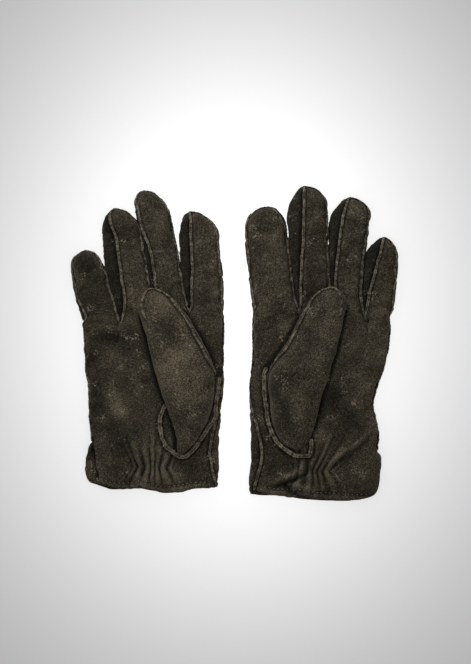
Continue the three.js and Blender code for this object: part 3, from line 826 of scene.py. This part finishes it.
def gathers(glove, points):
    """Folds that the elastic draws up, fanning out above and below it.

    Returns their height, and how sharp a crest (1) or a valley (-1) each point lies on.
    """
    spec = glove["gather"]
    middle, half = (spec["left"] + spec["right"]) / 2, (spec["right"] - spec["left"]) / 2
    x, y = points[:, 0], points[:, 1]
    above = y - spec["y"]
    spread = 1 + np.where(above > 0, above / 40, -above / 26)
    wobble = fractal(np.column_stack([x * 0.4, y * 0.5, 0 * x]), 9, 2, 4.0)
    x = middle + (x - middle - spec["lean"] * np.maximum(above, 0) + 1.3 * wobble) / spread
    across = np.exp(-(np.abs((x - middle) / (half * 1.02)) ** 6))
    each = (x - spec["left"]) / spec["fold"]
    each = each + 0.22 * np.sin(1.7 * each)
    longer = 1 + 0.5 * np.sin(2.4 * np.floor(each) + 1)
    reach = bell(above, np.where(above > 0, 19 * longer, 13))
    crest = 1 - 2 * np.abs(np.cos(each * math.pi)) ** 3.5
    pinch = bell(above - 15, 9) - 1.6 * bell(above, 4.5)
    return across * (2.0 * crest * reach + pinch), across * crest * reach


def creases(folds, points):
    """The height of long soft folds, and their tint, which is painted shade along a valley and a painted
    highlight along a crest. In the tint, the narrow ones show the most.
    """
    height, tint = np.zeros(len(points)), np.zeros(len(points))
    for drawn, width, peak in folds:
        line = through(drawn, 40)
        away = np.linalg.norm(points[:, None, :2] - line[None], axis=2)
        taper = np.sin(np.pi * (away.argmin(axis=1) + 1) / (len(line) + 1)) ** 0.6
        profile = peak * taper * bell(away.min(axis=1), width)
        height += profile
        tint += profile * 1.5 / (1 + width / 2)
    return height, tint


def painted_light_patches(patches, points):
    """How much patches of painted light make the leather paler and patches of painted shade make it
    darker: each patch is a plan point, a size and a tint.
    """
    tint = np.zeros(len(points))
    for x, y, size, strength in patches:
        tint += strength * bell(np.hypot(points[:, 0] - x, points[:, 1] - y), size)
    return tint


def shape_skin(glove, skin, vertices, seed):
    """Moves the skin in and out along its normals, and says how light each place is painted.

    Crests get a painted highlight and are paler. Valleys, and the grooves beside seams and hems, get
    painted shade and are darker.
    """
    used = np.unique(np.concatenate([g.ravel() for g in skin.grids.values()]))
    normals = normals_of(vertices, skin.faces(list(skin.grids)))
    seams = np.unique(np.concatenate(list(seam_lines(glove, skin).values())))
    points = vertices[used]
    to_seam, _ = nearest(points, vertices[seams])
    slack = smoothstep(to_seam, 0, 9)
    folds = fractal(points, 17, 2, seed + 29)
    pucker = fractal(points, 4.6, 2, seed + 13) * bell(to_seam, 5)
    lift, tint = np.zeros(len(vertices)), np.zeros(len(vertices))
    lift[used] = lerp(0.35, 1, slack) * swelled(HAND_SWELLS, points, seed)
    lift[used] += 0.8 * folds * slack
    lift[used] += 0.75 * pucker
    lift[used] += 0.22 * fractal(points, 5.5, 2, seed + 21)
    # A low ridge runs 5 mm beside each seam, and a groove along the seam itself.
    lift[used] += 0.5 * bell(to_seam - 5, 3) - 1.3 * bell(to_seam, 2.2)
    # Painted highlight on the crests of the folds and puckers and painted shade in their hollows, with a
    # wider noise of random tone.
    tint[used] = 0.5 * folds * slack + 0.5 * pucker + 0.4 * fractal(points, 26, 2, seed + 3) * slack
    # Painted shade in the grooves beside the seams, and the patches of painted light and painted shade.
    tint[used] += painted_light_patches(glove["painted_light_and_tone"], points) - 2.3 * plateau(to_seam, 1.3, 1.0)
    palm = np.unique(skin.grids["palm"])
    drawn, crest = gathers(glove, vertices[palm])
    folded, shaded = creases(glove["creases"], vertices[palm])
    lift[palm] += drawn + folded
    # Painted highlight on the gathers' crests and painted shade in their valleys, and the same along the
    # creases.
    tint[palm] += 1.5 * crest + shaded
    # Painted shadow: the palm is darkest close under the thumb's outline, and the back under the palm's
    # rim.
    outline = np.vstack([*thumb_rows(glove["thumb"]), through(glove["welt"])])
    away, _ = nearest_in_plan(vertices[palm], outline)
    tint[palm] -= 2.2 * plateau(away, 1.2, 1.7)
    for face in ("palm", "back"):
        own = np.unique(skin.grids[face])
        to_edge, _ = nearest(vertices[own], vertices[cuff_edge(glove, skin, face)])
        to_stitch, _ = nearest(vertices[own], vertices[stitch_line(glove, skin, face)])
        # The hem is thicker along its edge, and its stitches pull a fine groove into it.
        # A painted highlight runs along its edge, and painted shade along the groove.
        lift[own] += 0.35 * bell(to_edge - 2, 1.4) - 0.7 * bell(to_stitch, 0.9)
        tint[own] += 0.8 * bell(to_edge - 1.6, 1.0) - 0.9 * bell(to_stitch, 1.1)
    back, rim = np.unique(skin.grids["back"]), vertices[cuff_edge(glove, skin, "palm")]
    away, _ = nearest_in_plan(vertices[back], rim)
    # Painted shadow on the back under the palm's rim.
    tint[back] -= 2.2 * bell(away, 2.4)
    shaped = vertices + normals * lift[:, None]
    shaped[:, 2] = np.maximum(shaped[:, 2], 0.1)
    return shaped, tint


# ------------------------------------------------------------------ the thumb
def thumb_rows(spec):
    """Plan points on each side of the thumb, from its lower end to the start of its tip."""
    rows = through(np.hstack([spec["fold"], spec["seam"]]), THUMB_ROWS + 1)
    return rows[:, :2], rows[:, 2:]


def thumb_skin(glove, palm_points):
    """The folded thumb. Its ring of points starts on the seam side and passes over the top."""
    spec = glove["thumb"]
    fold, seam = thumb_rows(spec)
    centre, half = (fold + seam) / 2, (seam - fold) / 2
    around = 2 * (FINGER_COLUMNS + 8)
    section = Section(*THUMB_SECTION, THUMB_HALF_DEPTH)
    seam_turn = float(section.share_at(THUMB_SEAM_ANGLE))
    round_it = np.linspace(0, 1, around + 1)
    gone = gone_along(centre)
    crotch = gone[np.abs(seam - glove["thumb_crotch"]).sum(axis=1).argmin()]
    palm_height = palm_points[nearest_in_plan(seam, palm_points)[1], 2]
    floor = HAND_DEPTH + 0.5
    length = gone[-1] + spec["tip"]
    rows = []
    for k, distance in enumerate(gone):
        grown = math.sin(min(distance / crotch, 1) * math.pi / 2) ** 0.75
        depth = lerp(2.5, THUMB_TOP - floor - 0.6, grown)
        free = float(smoothstep(distance, crotch - 4, crotch + 22))
        side, rise = section.at(round_it + seam_turn * free)
        drawn_in = WELT_ROOM * (1 - free)
        middle = floor + depth / 2
        sides = lerp(palm_height[k] + 0.3, middle, free)
        level = lerp(middle, sides, (side + 1) / 2)
        far = np.where(rise > 0, floor + depth, lerp(floor - 0.5, floor, free))
        across = half[k] * (1 - drawn_in / 2 / np.linalg.norm(half[k]))
        placed = tapered(side, distance, length, spec["domes"], spec["lean"])
        plan = centre[k] - half[k] + across + across * placed[:, None]
        rows.append(np.column_stack([plan, lerp(level, far, np.abs(rise))]))
    last = half[-1]
    ahead = unit(np.array([-last[1], last[0]]) * np.sign(last[0]))
    for turn in np.linspace(0, math.pi / 2, DOME_ROWS + 1)[1:]:
        taper = math.cos(turn) ** 0.95
        reach = spec["tip"] * math.sin(turn)
        placed = tapered(side, gone[-1] + reach, length, spec["domes"], spec["lean"])
        plan = centre[-1] + ahead * reach + last * placed[:, None]
        middle = floor + lerp(depth / 2, depth * 0.4, math.sin(turn) ** 2)
        rows.append(np.column_stack([plan, middle + (depth / 2) * taper * rise]))
    skin = Skin()
    grid = skin.add(np.array(rows))
    grid[:, -1] = grid[:, 0]
    grid[-1] = grid[-1, 0]
    skin.panel("thumb", grid, flip=glove["outer"] == "left")
    return skin


# ------------------------------------------------------------------ raised seams and stitches
# Half the outline of a raised seam, from its foot to the dip between its two edges of leather:
# shares of its width and height, and the tint: a painted highlight, palest on the crest, and painted
# shade at the foot and in the dip.
HALF_FIN = [(0.50, -0.45, -3), (0.50, 0.30, -2.4), (0.47, 0.72, -0.8), (0.36, 0.96, 0.9), (0.20, 1.0, 1),
            (0.06, 0.84, -0.3)]
FIN = [(-across, rise, tint) for across, rise, tint in HALF_FIN] + HALF_FIN[::-1]


def rod_faces(rings, sides, first=0):
    """Faces of a rod of rings with closed ends, for vertices numbered ring by ring."""
    number = first + numbered((rings, sides))
    a, b = number[:-1], number[1:]
    quads = np.stack([a, b, np.roll(b, -1, axis=1), np.roll(a, -1, axis=1)], axis=-1)
    return [*quads.reshape(-1, 4).tolist(), number[0].tolist(), number[-1, ::-1].tolist()]


def raised_seam(name, path, up, material, width=SEAM_WIDTH, height=SEAM_HEIGHT, seed=0.0):
    """Two raw edges of leather standing side by side along a path, nipped in by each stitch."""
    count = max(int(gone_along(path)[-1] / SEAM_STEP), 8)
    both = evenly(np.hstack([path, up * 0.001]), count)
    centre, up = both[:, :3], both[:, 3:]
    for _ in range(3):
        centre[1:-1] = (centre[:-2] + 2 * centre[1:-1] + centre[2:]) / 4
        up[1:-1] = (up[:-2] + 2 * up[1:-1] + up[2:]) / 4
    ahead = unit(np.gradient(centre, axis=0))
    up = unit(square_to(up, ahead))
    lateral = np.cross(ahead, up)
    gone = np.arange(count) * gone_along(path)[-1] / count
    line = np.column_stack([gone, 0 * gone, 0 * gone + seed * 31])
    sway, swell = fractal(line, 9, 2, seed), fractal(line, 5, 2, seed + 3)
    stitch = np.cos(2 * math.pi * gone / STITCH_PITCH)
    wide = width * (1 + 0.24 * swell - 0.10 * stitch)
    tall = height * (1 + 0.22 * fractal(line, 7, 2, seed + 5) + 0.06 * stitch)
    ends = 0.55 + 0.45 * smoothstep(np.minimum(gone, gone[-1] - gone), 0, 2.0)
    rings = []
    for k, (across, rise, _) in enumerate(FIN):
        rough = 0.12 * fractal(line + (0, k * 7.3, 0), 1.6, 1, seed)
        out = lateral * (wide * across * ends + 0.5 * sway)[:, None]
        rings.append(centre + out + up * ((tall * rise + rough) * ends)[:, None])
    points = np.stack(rings, axis=1)
    points[..., 2] = np.maximum(points[..., 2], CLEAR_OF_FLOOR)
    piece = object_of(name, points.reshape(-1, 3), rod_faces(count, len(FIN)), material)
    # Random tone along the seam, added to the painted highlight and painted shade of its outline.
    worn = 1.9 * fractal(line, 2.6, 2, seed + 8)
    add_tint(piece, worn[:, None] + [tint for _, _, tint in FIN])
    return piece


def stitches(name, path, up, material, pitch=3.6, length=2.3, radius=0.32):
    """A row of short thread stitches lying along a path."""
    centre = evenly(path, max(int(gone_along(path)[-1] / pitch), 2))
    up = evenly(np.hstack([path, up]), len(centre))[:, 3:]
    ahead = unit(np.gradient(centre, axis=0))
    lateral = np.cross(ahead, up)
    rings, sides = 5, 6
    turns = np.linspace(0, 2 * math.pi, sides, endpoint=False)
    points, faces = [], []
    for c, a, l, u in zip(centre, ahead, lateral, up):
        faces += [face[::-1] for face in rod_faces(rings, sides, len(points))]
        for along in np.linspace(-1, 1, rings):
            size = radius * math.sqrt(max(1 - (along * 0.93) ** 2, 0.02))
            sink = -0.32 * along**2
            for turn in turns:
                points.append(c + a * along * length / 2 + l * size * math.cos(turn)
                              + u * (size * math.sin(turn) + sink))
    return object_of(name, np.array(points), faces, material)


def turned_hem(name, vertices, rows, normals, material):
    """The cuff's edge rolled inside: a band that wraps the edge and lies against the inner face.

    The rows are the panel's own, the free edge first.
    """
    edge = rows[0]
    along = np.arange(len(edge))
    ends = smoothstep(np.minimum(along, along[::-1]), 0, 5)
    roll = ((LEATHER + 0.15) * lerp(0.25, 1, ends))[:, None]
    out = normals[edge]
    down = unit(square_to(vertices[edge] - vertices[rows[2]], out))
    centre = vertices[edge] - out * roll
    bands, facing = [], []
    for turn in np.linspace(0.15, math.pi, 8):
        away = out * math.cos(turn) + down * math.sin(turn)
        bands.append(centre + away * roll)
        facing.append(away)
    for row in rows[1:]:
        bands.append(vertices[row] - normals[row] * roll * 2)
        facing.append(-normals[row])
    points = np.stack(bands, axis=1)
    quads = quads_of(numbered(points.shape[:2]))
    flat, facing = points.reshape(-1, 3), np.stack(facing, axis=1).reshape(-1, 3)
    if (normals_of(flat, quads) * facing).sum() < 0:
        quads = quads[:, ::-1]
    flat[:, 2] = np.maximum(flat[:, 2], 0.12)
    return shell(name, flat, quads, facing, material, thickness=1.0)


# ------------------------------------------------------------------ materials
def set_inputs(node, values):
    """Sets each named or numbered input of a shader node to a value, or links it to an output."""
    for name, value in values.items():
        socket = node.inputs[name]
        if isinstance(value, bpy.types.NodeSocket):
            node.id_data.links.new(value, socket)
        else:
            socket.default_value = value


def link_noise(tree, place, scale, detail, roughness):
    node = tree.nodes.new("ShaderNodeTexNoise")
    set_inputs(node, {"Scale": scale, "Detail": detail, "Roughness": roughness, "Vector": place})
    return node.outputs["Fac"]


def link_math(tree, operation, *values):
    node = tree.nodes.new("ShaderNodeMath")
    node.operation = operation
    set_inputs(node, dict(enumerate(values)))
    return node.outputs["Value"]


def link_attribute(tree, name):
    node = tree.nodes.new("ShaderNodeAttribute")
    node.attribute_name = name
    return node


def new_material(name, roughness, sheen, specular):
    material = bpy.data.materials.new(name)
    material.use_nodes = True
    shader = material.node_tree.nodes["Principled BSDF"]
    set_inputs(shader, {
        "Roughness": roughness,
        "Specular IOR Level": specular,
        "Sheen Weight": sheen,
        "Sheen Roughness": 0.5,
        "Sheen Tint": (0.62, 0.53, 0.42, 1),
    })
    return material, material.node_tree, shader


def link_ramp(tree, factor, shader, stops):
    """Colours the shader by a factor, from stops of (position, colour)."""
    ramp = tree.nodes.new("ShaderNodeValToRGB")
    elements = ramp.color_ramp.elements
    for end, (position, colour) in zip(elements, (stops[0], stops[-1])):
        end.position, end.color = position, (*colour, 1)
    for position, colour in stops[1:-1]:
        elements.new(position).color = (*colour, 1)
    set_inputs(ramp, {"Fac": factor})
    set_inputs(shader, {"Base Color": ramp.outputs["Color"]})
    return ramp.outputs["Color"]


def link_bump(tree, height, shader, distance, strength=1.0):
    bump = tree.nodes.new("ShaderNodeBump")
    set_inputs(bump, {"Strength": strength, "Distance": distance, "Height": height})
    set_inputs(shader, {"Normal": bump.outputs["Normal"]})


def suede(name, tones, sheen=0.22, tint_strength=0.24, fuzz=1.0):
    """Napped leather: blotches of colour, a fine nap, a few pale scuffs, and the painted tint, which
    holds painted light and shade as well as random tone.
    """
    material, tree, shader = new_material(name, 0.95, sheen, 0.12)
    place = link_attribute(tree, "rest_place").outputs["Vector"]
    tint = link_attribute(tree, "tint").outputs["Fac"]
    blotches = link_noise(tree, place, 45, 4, 0.6)
    nap = link_noise(tree, place, 1050, 3, 0.95)
    clumps = link_noise(tree, place, 520, 2, 0.6)
    level = link_math(tree, "MULTIPLY_ADD", tint, tint_strength, 0.5)
    for source, amount in ((blotches, 0.5), (nap, 3.1), (clumps, 0.35)):
        lowered = link_math(tree, "SUBTRACT", level, amount / 2)
        level = link_math(tree, "MULTIPLY_ADD", source, amount, lowered)
    painted_light_and_tone = link_ramp(tree, level, shader, list(zip((0.06, 0.5, 1.0), tones)))
    flecks = link_noise(tree, place, 760, 1, 0.4)
    scuffs = link_noise(tree, place, 90, 2, 0.5)
    fleck = link_math(tree, "MULTIPLY", flecks, scuffs)
    pale = tree.nodes.new("ShaderNodeMapRange")
    set_inputs(pale, {"From Min": 0.38, "From Max": 0.47, "Value": fleck})
    mix = tree.nodes.new("ShaderNodeMix")
    mix.data_type = "RGBA"
    set_inputs(mix, {"Factor": pale.outputs["Result"], "A": painted_light_and_tone, "B": (0.14, 0.118, 0.09, 1)})
    set_inputs(shader, {"Base Color": mix.outputs["Result"]})
    link_bump(tree, link_math(tree, "MULTIPLY_ADD", clumps, 0.7, nap), shader, 0.0007, 0.55 * fuzz)
    return material


def woven(name, colour):
    """Elastic tape: ribs along its length, crossed by fine threads."""
    material, tree, shader = new_material(name, 0.8, 0.1, 0.25)
    place = link_attribute(tree, "rest_place").outputs["Vector"]
    wave = tree.nodes.new("ShaderNodeTexWave")
    wave.bands_direction = "Y"
    set_inputs(wave, {"Scale": 260, "Distortion": 0.6, "Vector": place})
    stops = [(share, [c * level for c in colour]) for share, level in ((0, 0.5), (1, 1.6))]
    link_ramp(tree, wave.outputs["Fac"], shader, stops)
    link_bump(tree, wave.outputs["Fac"], shader, 0.0004)
    return material


# The tones of each leather are its darkest, its middle and its palest colour.
SUEDE = suede("suede", [(0.0012, 0.001, 0.0006), (0.0182, 0.015, 0.0096), (0.104, 0.086, 0.058)])
# A lighter copy of the suede, as painted light on the raised thumb.
LIT_THUMB_SUEDE = suede(
    "suede_thumb_painted_light", [(0.0016, 0.0013, 0.0008), (0.0225, 0.0184, 0.012), (0.13, 0.108, 0.073)]
)
# A darker copy of the suede, as painted shade on the fourchettes between the fingers.
SHADED_FOURCHETTE = suede(
    "suede_fourchette_painted_shade", [(0.001, 0.0008, 0.0005), (0.0072, 0.0059, 0.0038), (0.04, 0.034, 0.0235)],
    sheen=0.08,
)
# A paler copy of the suede, as a painted highlight on the raised seams and welts.
SEAM = suede(
    "suede_seam_painted_highlight", [(0.001, 0.0008, 0.0005), (0.031, 0.0258, 0.0178), (0.20, 0.17, 0.122)],
    sheen=0.2, tint_strength=0.2, fuzz=1.6,
)
THREAD = suede(
    "thread", [(0.06, 0.05, 0.037), (0.14, 0.12, 0.092), (0.26, 0.23, 0.18)], sheen=0.1, fuzz=0.4
)
ELASTIC = woven("elastic_tape", (0.012, 0.011, 0.011))


# ------------------------------------------------------------------ putting a glove together
def hinge_of(part):
    """The place of a part's hinge, and the direction along the part, square to the hinge."""
    joint = next(j for j in frame["joints"] if j["child"] == part)
    return Vector(joint["pos_m"]), Vector((0, 0, 1)).cross(Vector(joint["axis"]))


def bend_with(piece, hand, part, before, after):
    """Bakes the piece's placement into its mesh."""
    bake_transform(piece)


def bend_finger(piece, side, finger):
    bend_with(piece, f"{side}_hand", f"{side}_{finger}", -BLEND_HALF, BLEND_HALF)


def bend_thumb(piece, side):
    bend_with(piece, f"{side}_hand", f"{side}_thumb", *THUMB_BEND)


def inside(points, outline, margin):
    """Which plan points lie inside an outline, at least a margin from it."""
    x, y = points[:, 0][:, None], points[:, 1][:, None]
    a, b = outline, np.roll(outline, -1, axis=0)
    crosses = (a[:, 1] > y) != (b[:, 1] > y)
    rise = np.where(b[:, 1] == a[:, 1], 1e-9, b[:, 1] - a[:, 1])
    at = a[:, 0] + (y - a[:, 1]) / rise * (b[:, 0] - a[:, 0])
    within = (crosses & (x < at)).sum(axis=1) % 2 == 1
    away = np.linalg.norm(points[:, None, :2] - outline[None], axis=2).min(axis=1)
    return within & (away > margin)


def finish_piece(piece, slot, *nodes):
    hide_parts(*nodes)
    return piece


def thumb_hole(glove):
    """The outline of the part of the thumb that is sewn to the palm."""
    fold, seam = thumb_rows(glove["thumb"])
    outline = np.vstack([fold, seam[::-1]])
    return outline[outline[:, 1] < glove["thumb_crotch"][1] - 2]


def dress_hand(side, glove, skin, vertices, normals, tint):
    """The palm and the back, each with its turned hem and the row of stitches through it."""
    hand = f"{side}_hand"
    for face, sheet in (("palm", "front"), ("back", "back")):
        faces = skin.faces([face])
        if face == "palm":
            faces = faces[~inside(vertices[faces].mean(axis=1), thumb_hole(glove), HOLE_MARGIN)]
        piece = shell(f"{side}_{face}_leather", vertices, faces, normals[sheet], SUEDE, tint=tint)
        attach(finish_piece(piece, "suede", f"{side}_{face}_panel"), hand)
        start, stop = HEM_ENDS if glove["outer"] == "left" else HEM_ENDS[::-1]
        rows = skin.grids[face][: HEM_ROWS + 1, start:-stop]
        hem = turned_hem(f"{side}_{face}_hem_leather", vertices, rows, normals[sheet], SUEDE)
        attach(finish_piece(hem, "suede", f"{side}_{face}_hem"), hand)
        sewn = stitch_line(glove, skin, face)
        thread = stitches(f"{side}_{face}_hem_stitches", vertices[sewn], normals[sheet][sewn], THREAD)
        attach(finish_piece(thread, "seam"), hand)


def dress_fingers(side, glove, skin, vertices, normals, welded, tint, seed):
    """Each finger's front, back, fourchettes and two raised seams."""
    lines = seam_lines(glove, skin)
    for finger in glove["fingers"]:
        for face in ("front", "back"):
            name = f"{side}_{finger}_{face}"
            faces = skin.faces([f"{finger}_{face}"])
            piece = shell(f"{name}_leather", vertices, faces, normals[face], SUEDE, tint=tint)
            bend_finger(finish_piece(piece, "suede", name), side, finger)
        for way in ("left", "right"):
            panel = f"{finger}_{way}"
            name = f"{side}_{finger}_{'outer' if way == glove['outer'] else 'inner'}_fourchette"
            if panel in skin.grids:
                faces = skin.faces([panel])
                own_normals = normals_of(vertices, faces)
                # The fourchettes take the darker copy of the suede, as painted shade.
                piece = shell(f"{name}_leather", vertices, faces, own_normals, SHADED_FOURCHETTE, tint=tint)
                bend_finger(finish_piece(piece, "fourchette", name), side, finger)
        for face in ("front", "back"):
            line = lines[f"{finger}_{face}"]
            up = welded[line].copy()
            if face == "back":
                up[:, 2] = np.maximum(up[:, 2], -0.1)
            name = f"{side}_{finger}_{face}_seam_ridge"
            seam = raised_seam(name, vertices[line], up, SEAM, seed=seed + len(line))
            bend_finger(finish_piece(seam, "seam"), side, finger)


def dress_sides(side, glove, skin, vertices, welded, seed):
    """The raised seams down both sides of the hand."""
    lines, fingers = seam_lines(glove, skin), list(glove["fingers"])
    for way, finger, column in (("left", fingers[0], 0), ("right", fingers[-1], -1)):
        label = "outer" if way == glove["outer"] else "index"
        along_finger = skin.grids[f"{finger}_front"][1:SEAM_OVERLAP, column]
        line = np.concatenate([lines[f"hand_{way}"], along_finger])
        name = f"{side}_{label}_side_seam"
        seam = raised_seam(f"{name}_ridge", vertices[line], welded[line], SEAM, seed=seed)
        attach(finish_piece(seam, "seam", name), f"{side}_hand")


def dress_elastic(side, glove, palm_points):
    """The tape under the palm's gathers, wavy as they are."""
    spec = glove["gather"]
    across = np.linspace(spec["left"], spec["right"], 60)
    rows = []
    for down in np.linspace(-3, 3, 7):
        plan = np.column_stack([across, np.full(60, spec["y"] + down)])
        _, above = nearest_in_plan(plan, palm_points)
        z = moving_mean(palm_points[above, 2], np.ones(7))
        rows.append(np.column_stack([plan, z - LEATHER - 1.4 + 0.3 * np.sin(across * 2.2)]))
    points = np.array(rows)
    quads = quads_of(numbered(points.shape[:2]))
    flat = points.reshape(-1, 3)
    name = f"{side}_wrist_elastic_tape"
    piece = shell(name, flat, quads, normals_of(flat, quads), ELASTIC, thickness=0.9)
    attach(finish_piece(piece, "elastic", f"{side}_wrist_elastic"), f"{side}_hand")


def dress_thumb(side, glove, palm_points, palm_normals, seed):
    """The thumb: its base on the hand, its free part, its own seam, and the welt that sets it in."""
    skin = thumb_skin(glove, palm_points)
    vertices, grid, faces = skin.vertices(), skin.grids["thumb"], skin.faces(["thumb"])
    used, seam_line = np.unique(grid), grid[:, 0]
    points = vertices[used]
    to_seam, _ = nearest(points, vertices[seam_line])
    lift, tint = np.zeros(len(vertices)), np.zeros(len(vertices))
    lift[used] = lerp(0.3, 1, smoothstep(to_seam, 0, 8)) * swelled(THUMB_SWELLS, points, seed)
    lift[used] += 0.22 * fractal(points, 5, 2, seed + 9) - bell(to_seam, 1.8)
    folded, shaded = creases(glove["thumb_creases"], points)
    lift[used] += folded * (points[:, 2] > HAND_DEPTH)
    vertices = vertices + normals_of(vertices, faces) * lift[:, None]
    normals = normals_of(vertices, faces)
    # Painted shade and painted highlight along the thumb's creases, patches of painted light and painted
    # shade, random tone, and painted shade beside its seam.
    tint[used] = shaded + 0.6 * fractal(points, 24, 2, seed + 3) + painted_light_patches(glove["thumb_painted_light"], points)
    tint[used] -= 2.0 * plateau(to_seam, 1.3, 1.0)
    hinge, ahead = (np.array(v) for v in hinge_of(f"{side}_thumb"))
    past = (((vertices[grid] - PLAN_CENTRE) * MM - hinge) @ ahead).max(axis=1) / MM
    split = int(np.argmax(past > THUMB_BEND[0] - 0.2))
    under = int(0.64 * (grid.shape[1] - 1))  # the base leaves out the ring's underside
    skin.panel("base", grid[: split + 1, : under + 1], flip="thumb" in skin.flipped)
    skin.panel("free", grid[split:], flip="thumb" in skin.flipped)
    name = f"{side}_thumb_base"
    piece = shell(f"{name}_leather", vertices, skin.faces(["base"]), normals, LIT_THUMB_SUEDE, tint=tint)
    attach(finish_piece(piece, "suede", name), f"{side}_hand")
    name = f"{side}_thumb_leather"
    piece = shell(name, vertices, skin.faces(["free"]), normals, LIT_THUMB_SUEDE, tint=tint)
    bend_thumb(finish_piece(piece, "suede", f"{side}_thumb_panel"), side)
    crotch = np.linalg.norm(vertices[seam_line][:, :2] - glove["thumb_crotch"], axis=1).argmin()
    far_side = int(grid.shape[1] * 0.36)
    line = np.concatenate([grid[crotch:, 0], grid[-2:-24:-1, far_side]])
    seam = raised_seam(f"{side}_thumb_seam_ridge", vertices[line], normals[line], SEAM, seed=seed + 2)
    bend_thumb(finish_piece(seam, "seam", f"{side}_thumb_seam"), side)
    plan = through(glove["welt"], 150)
    _, under = nearest_in_plan(plan, palm_points)
    up = palm_normals[under]
    path = np.column_stack([plan, palm_points[under, 2]]) + up * 0.6
    welt = raised_seam(f"{side}_thumb_welt_ridge", path, up, SEAM, width=3.5, height=2.7, seed=seed + 4)
    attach(finish_piece(welt, "seam", f"{side}_thumb_welt"), f"{side}_hand")


def dress_glove(side, glove, seed):
    skin = glove_skin(glove)
    vertices, tint = shape_skin(glove, skin, slackened(glove, skin, skin.vertices()), seed)
    welded = normals_of(vertices, skin.faces(list(skin.grids)))
    fronts = ["palm"] + [f"{finger}_front" for finger in glove["fingers"]]
    backs = ["back"] + [f"{finger}_back" for finger in glove["fingers"]]
    normals = {
        "front": normals_of(vertices, skin.faces(fronts)),
        "back": normals_of(vertices, skin.faces(backs)),
    }
    dress_hand(side, glove, skin, vertices, normals, tint)
    dress_fingers(side, glove, skin, vertices, normals, welded, tint, seed)
    dress_sides(side, glove, skin, vertices, welded, seed)
    palm_side = np.unique(skin.faces(fronts))
    dress_elastic(side, glove, vertices[palm_side])
    dress_thumb(side, glove, vertices[palm_side], normals["front"][palm_side], seed + 50)


for number, (side, glove) in enumerate(GLOVES.items()):
    dress_glove(side, glove, 10.0 + 100 * number)


# ------------------------------------------------------------------ floor, light, camera
def add_floor():
    mesh = bpy.data.meshes.new("floor")
    half = 3.0
    corners = [(-half, -half, 0), (half, -half, 0), (half, half, 0), (-half, half, 0)]
    mesh.from_pydata(corners, [], [(0, 1, 2, 3)])
    floor = put_in_scene("floor", mesh)
    material, _, shader = new_material("floor_white", 0.9, 0.0, 0.2)
    set_inputs(shader, {"Base Color": (0.86, 0.86, 0.86, 1)})
    mesh.materials.append(material)
    return floor


def add_light(name, place, width, depth, power):
    light = bpy.data.lights.new(name, "AREA")
    light.shape = "ELLIPSE"
    light.size, light.size_y = width, depth
    light.energy = power
    lamp = put_in_scene(name, light)
    lamp.location = place
    lamp.rotation_euler = (-Vector(place)).to_track_quat("-Z", "Y").to_euler()
    lamp.visible_camera = False
    return lamp


def link_to(lamp, floor, state):
    """Makes a lamp light the floor only (INCLUDE) or everything but the floor (EXCLUDE)."""
    receivers = bpy.data.collections.new(f"{lamp.name}_receivers")
    receivers.objects.link(floor)
    receivers.collection_objects[0].light_linking.link_state = state
    lamp.light_linking.receiver_collection = receivers


def add_camera():
    height, picture_height = 2.6, 0.5498  # metres
    camera = bpy.data.cameras.new("camera")
    camera.sensor_width = 36
    camera.lens = camera.sensor_width * height / picture_height
    eye = put_in_scene("camera", camera)
    eye.location = (-0.0001, 0.0090, height)
    bpy.context.scene.camera = eye


def add_world():
    world = bpy.data.worlds.new("world")
    world.use_nodes = True
    set_inputs(world.node_tree.nodes["Background"], {"Color": (1, 1, 1, 1), "Strength": 0.3})
    bpy.context.scene.world = world


bpy.context.scene.view_settings.view_transform = "Standard"
floor = add_floor()
link_to(add_light("overhead", (0.0, 0.03, 0.6), 0.3, 0.3, 1.7), floor, "EXCLUDE")
link_to(add_light("key", (-0.2, 0.6, 0.35), 0.1, 0.1, 3.2), floor, "EXCLUDE")
backdrop = add_light("backdrop", (0.0, 0.03, 0.27), 0.08, 0.4, 1.12)
backdrop.rotation_euler = (0, 0, 0)
backdrop.data.use_shadow = False
link_to(backdrop, floor, "INCLUDE")
add_world()
add_camera()
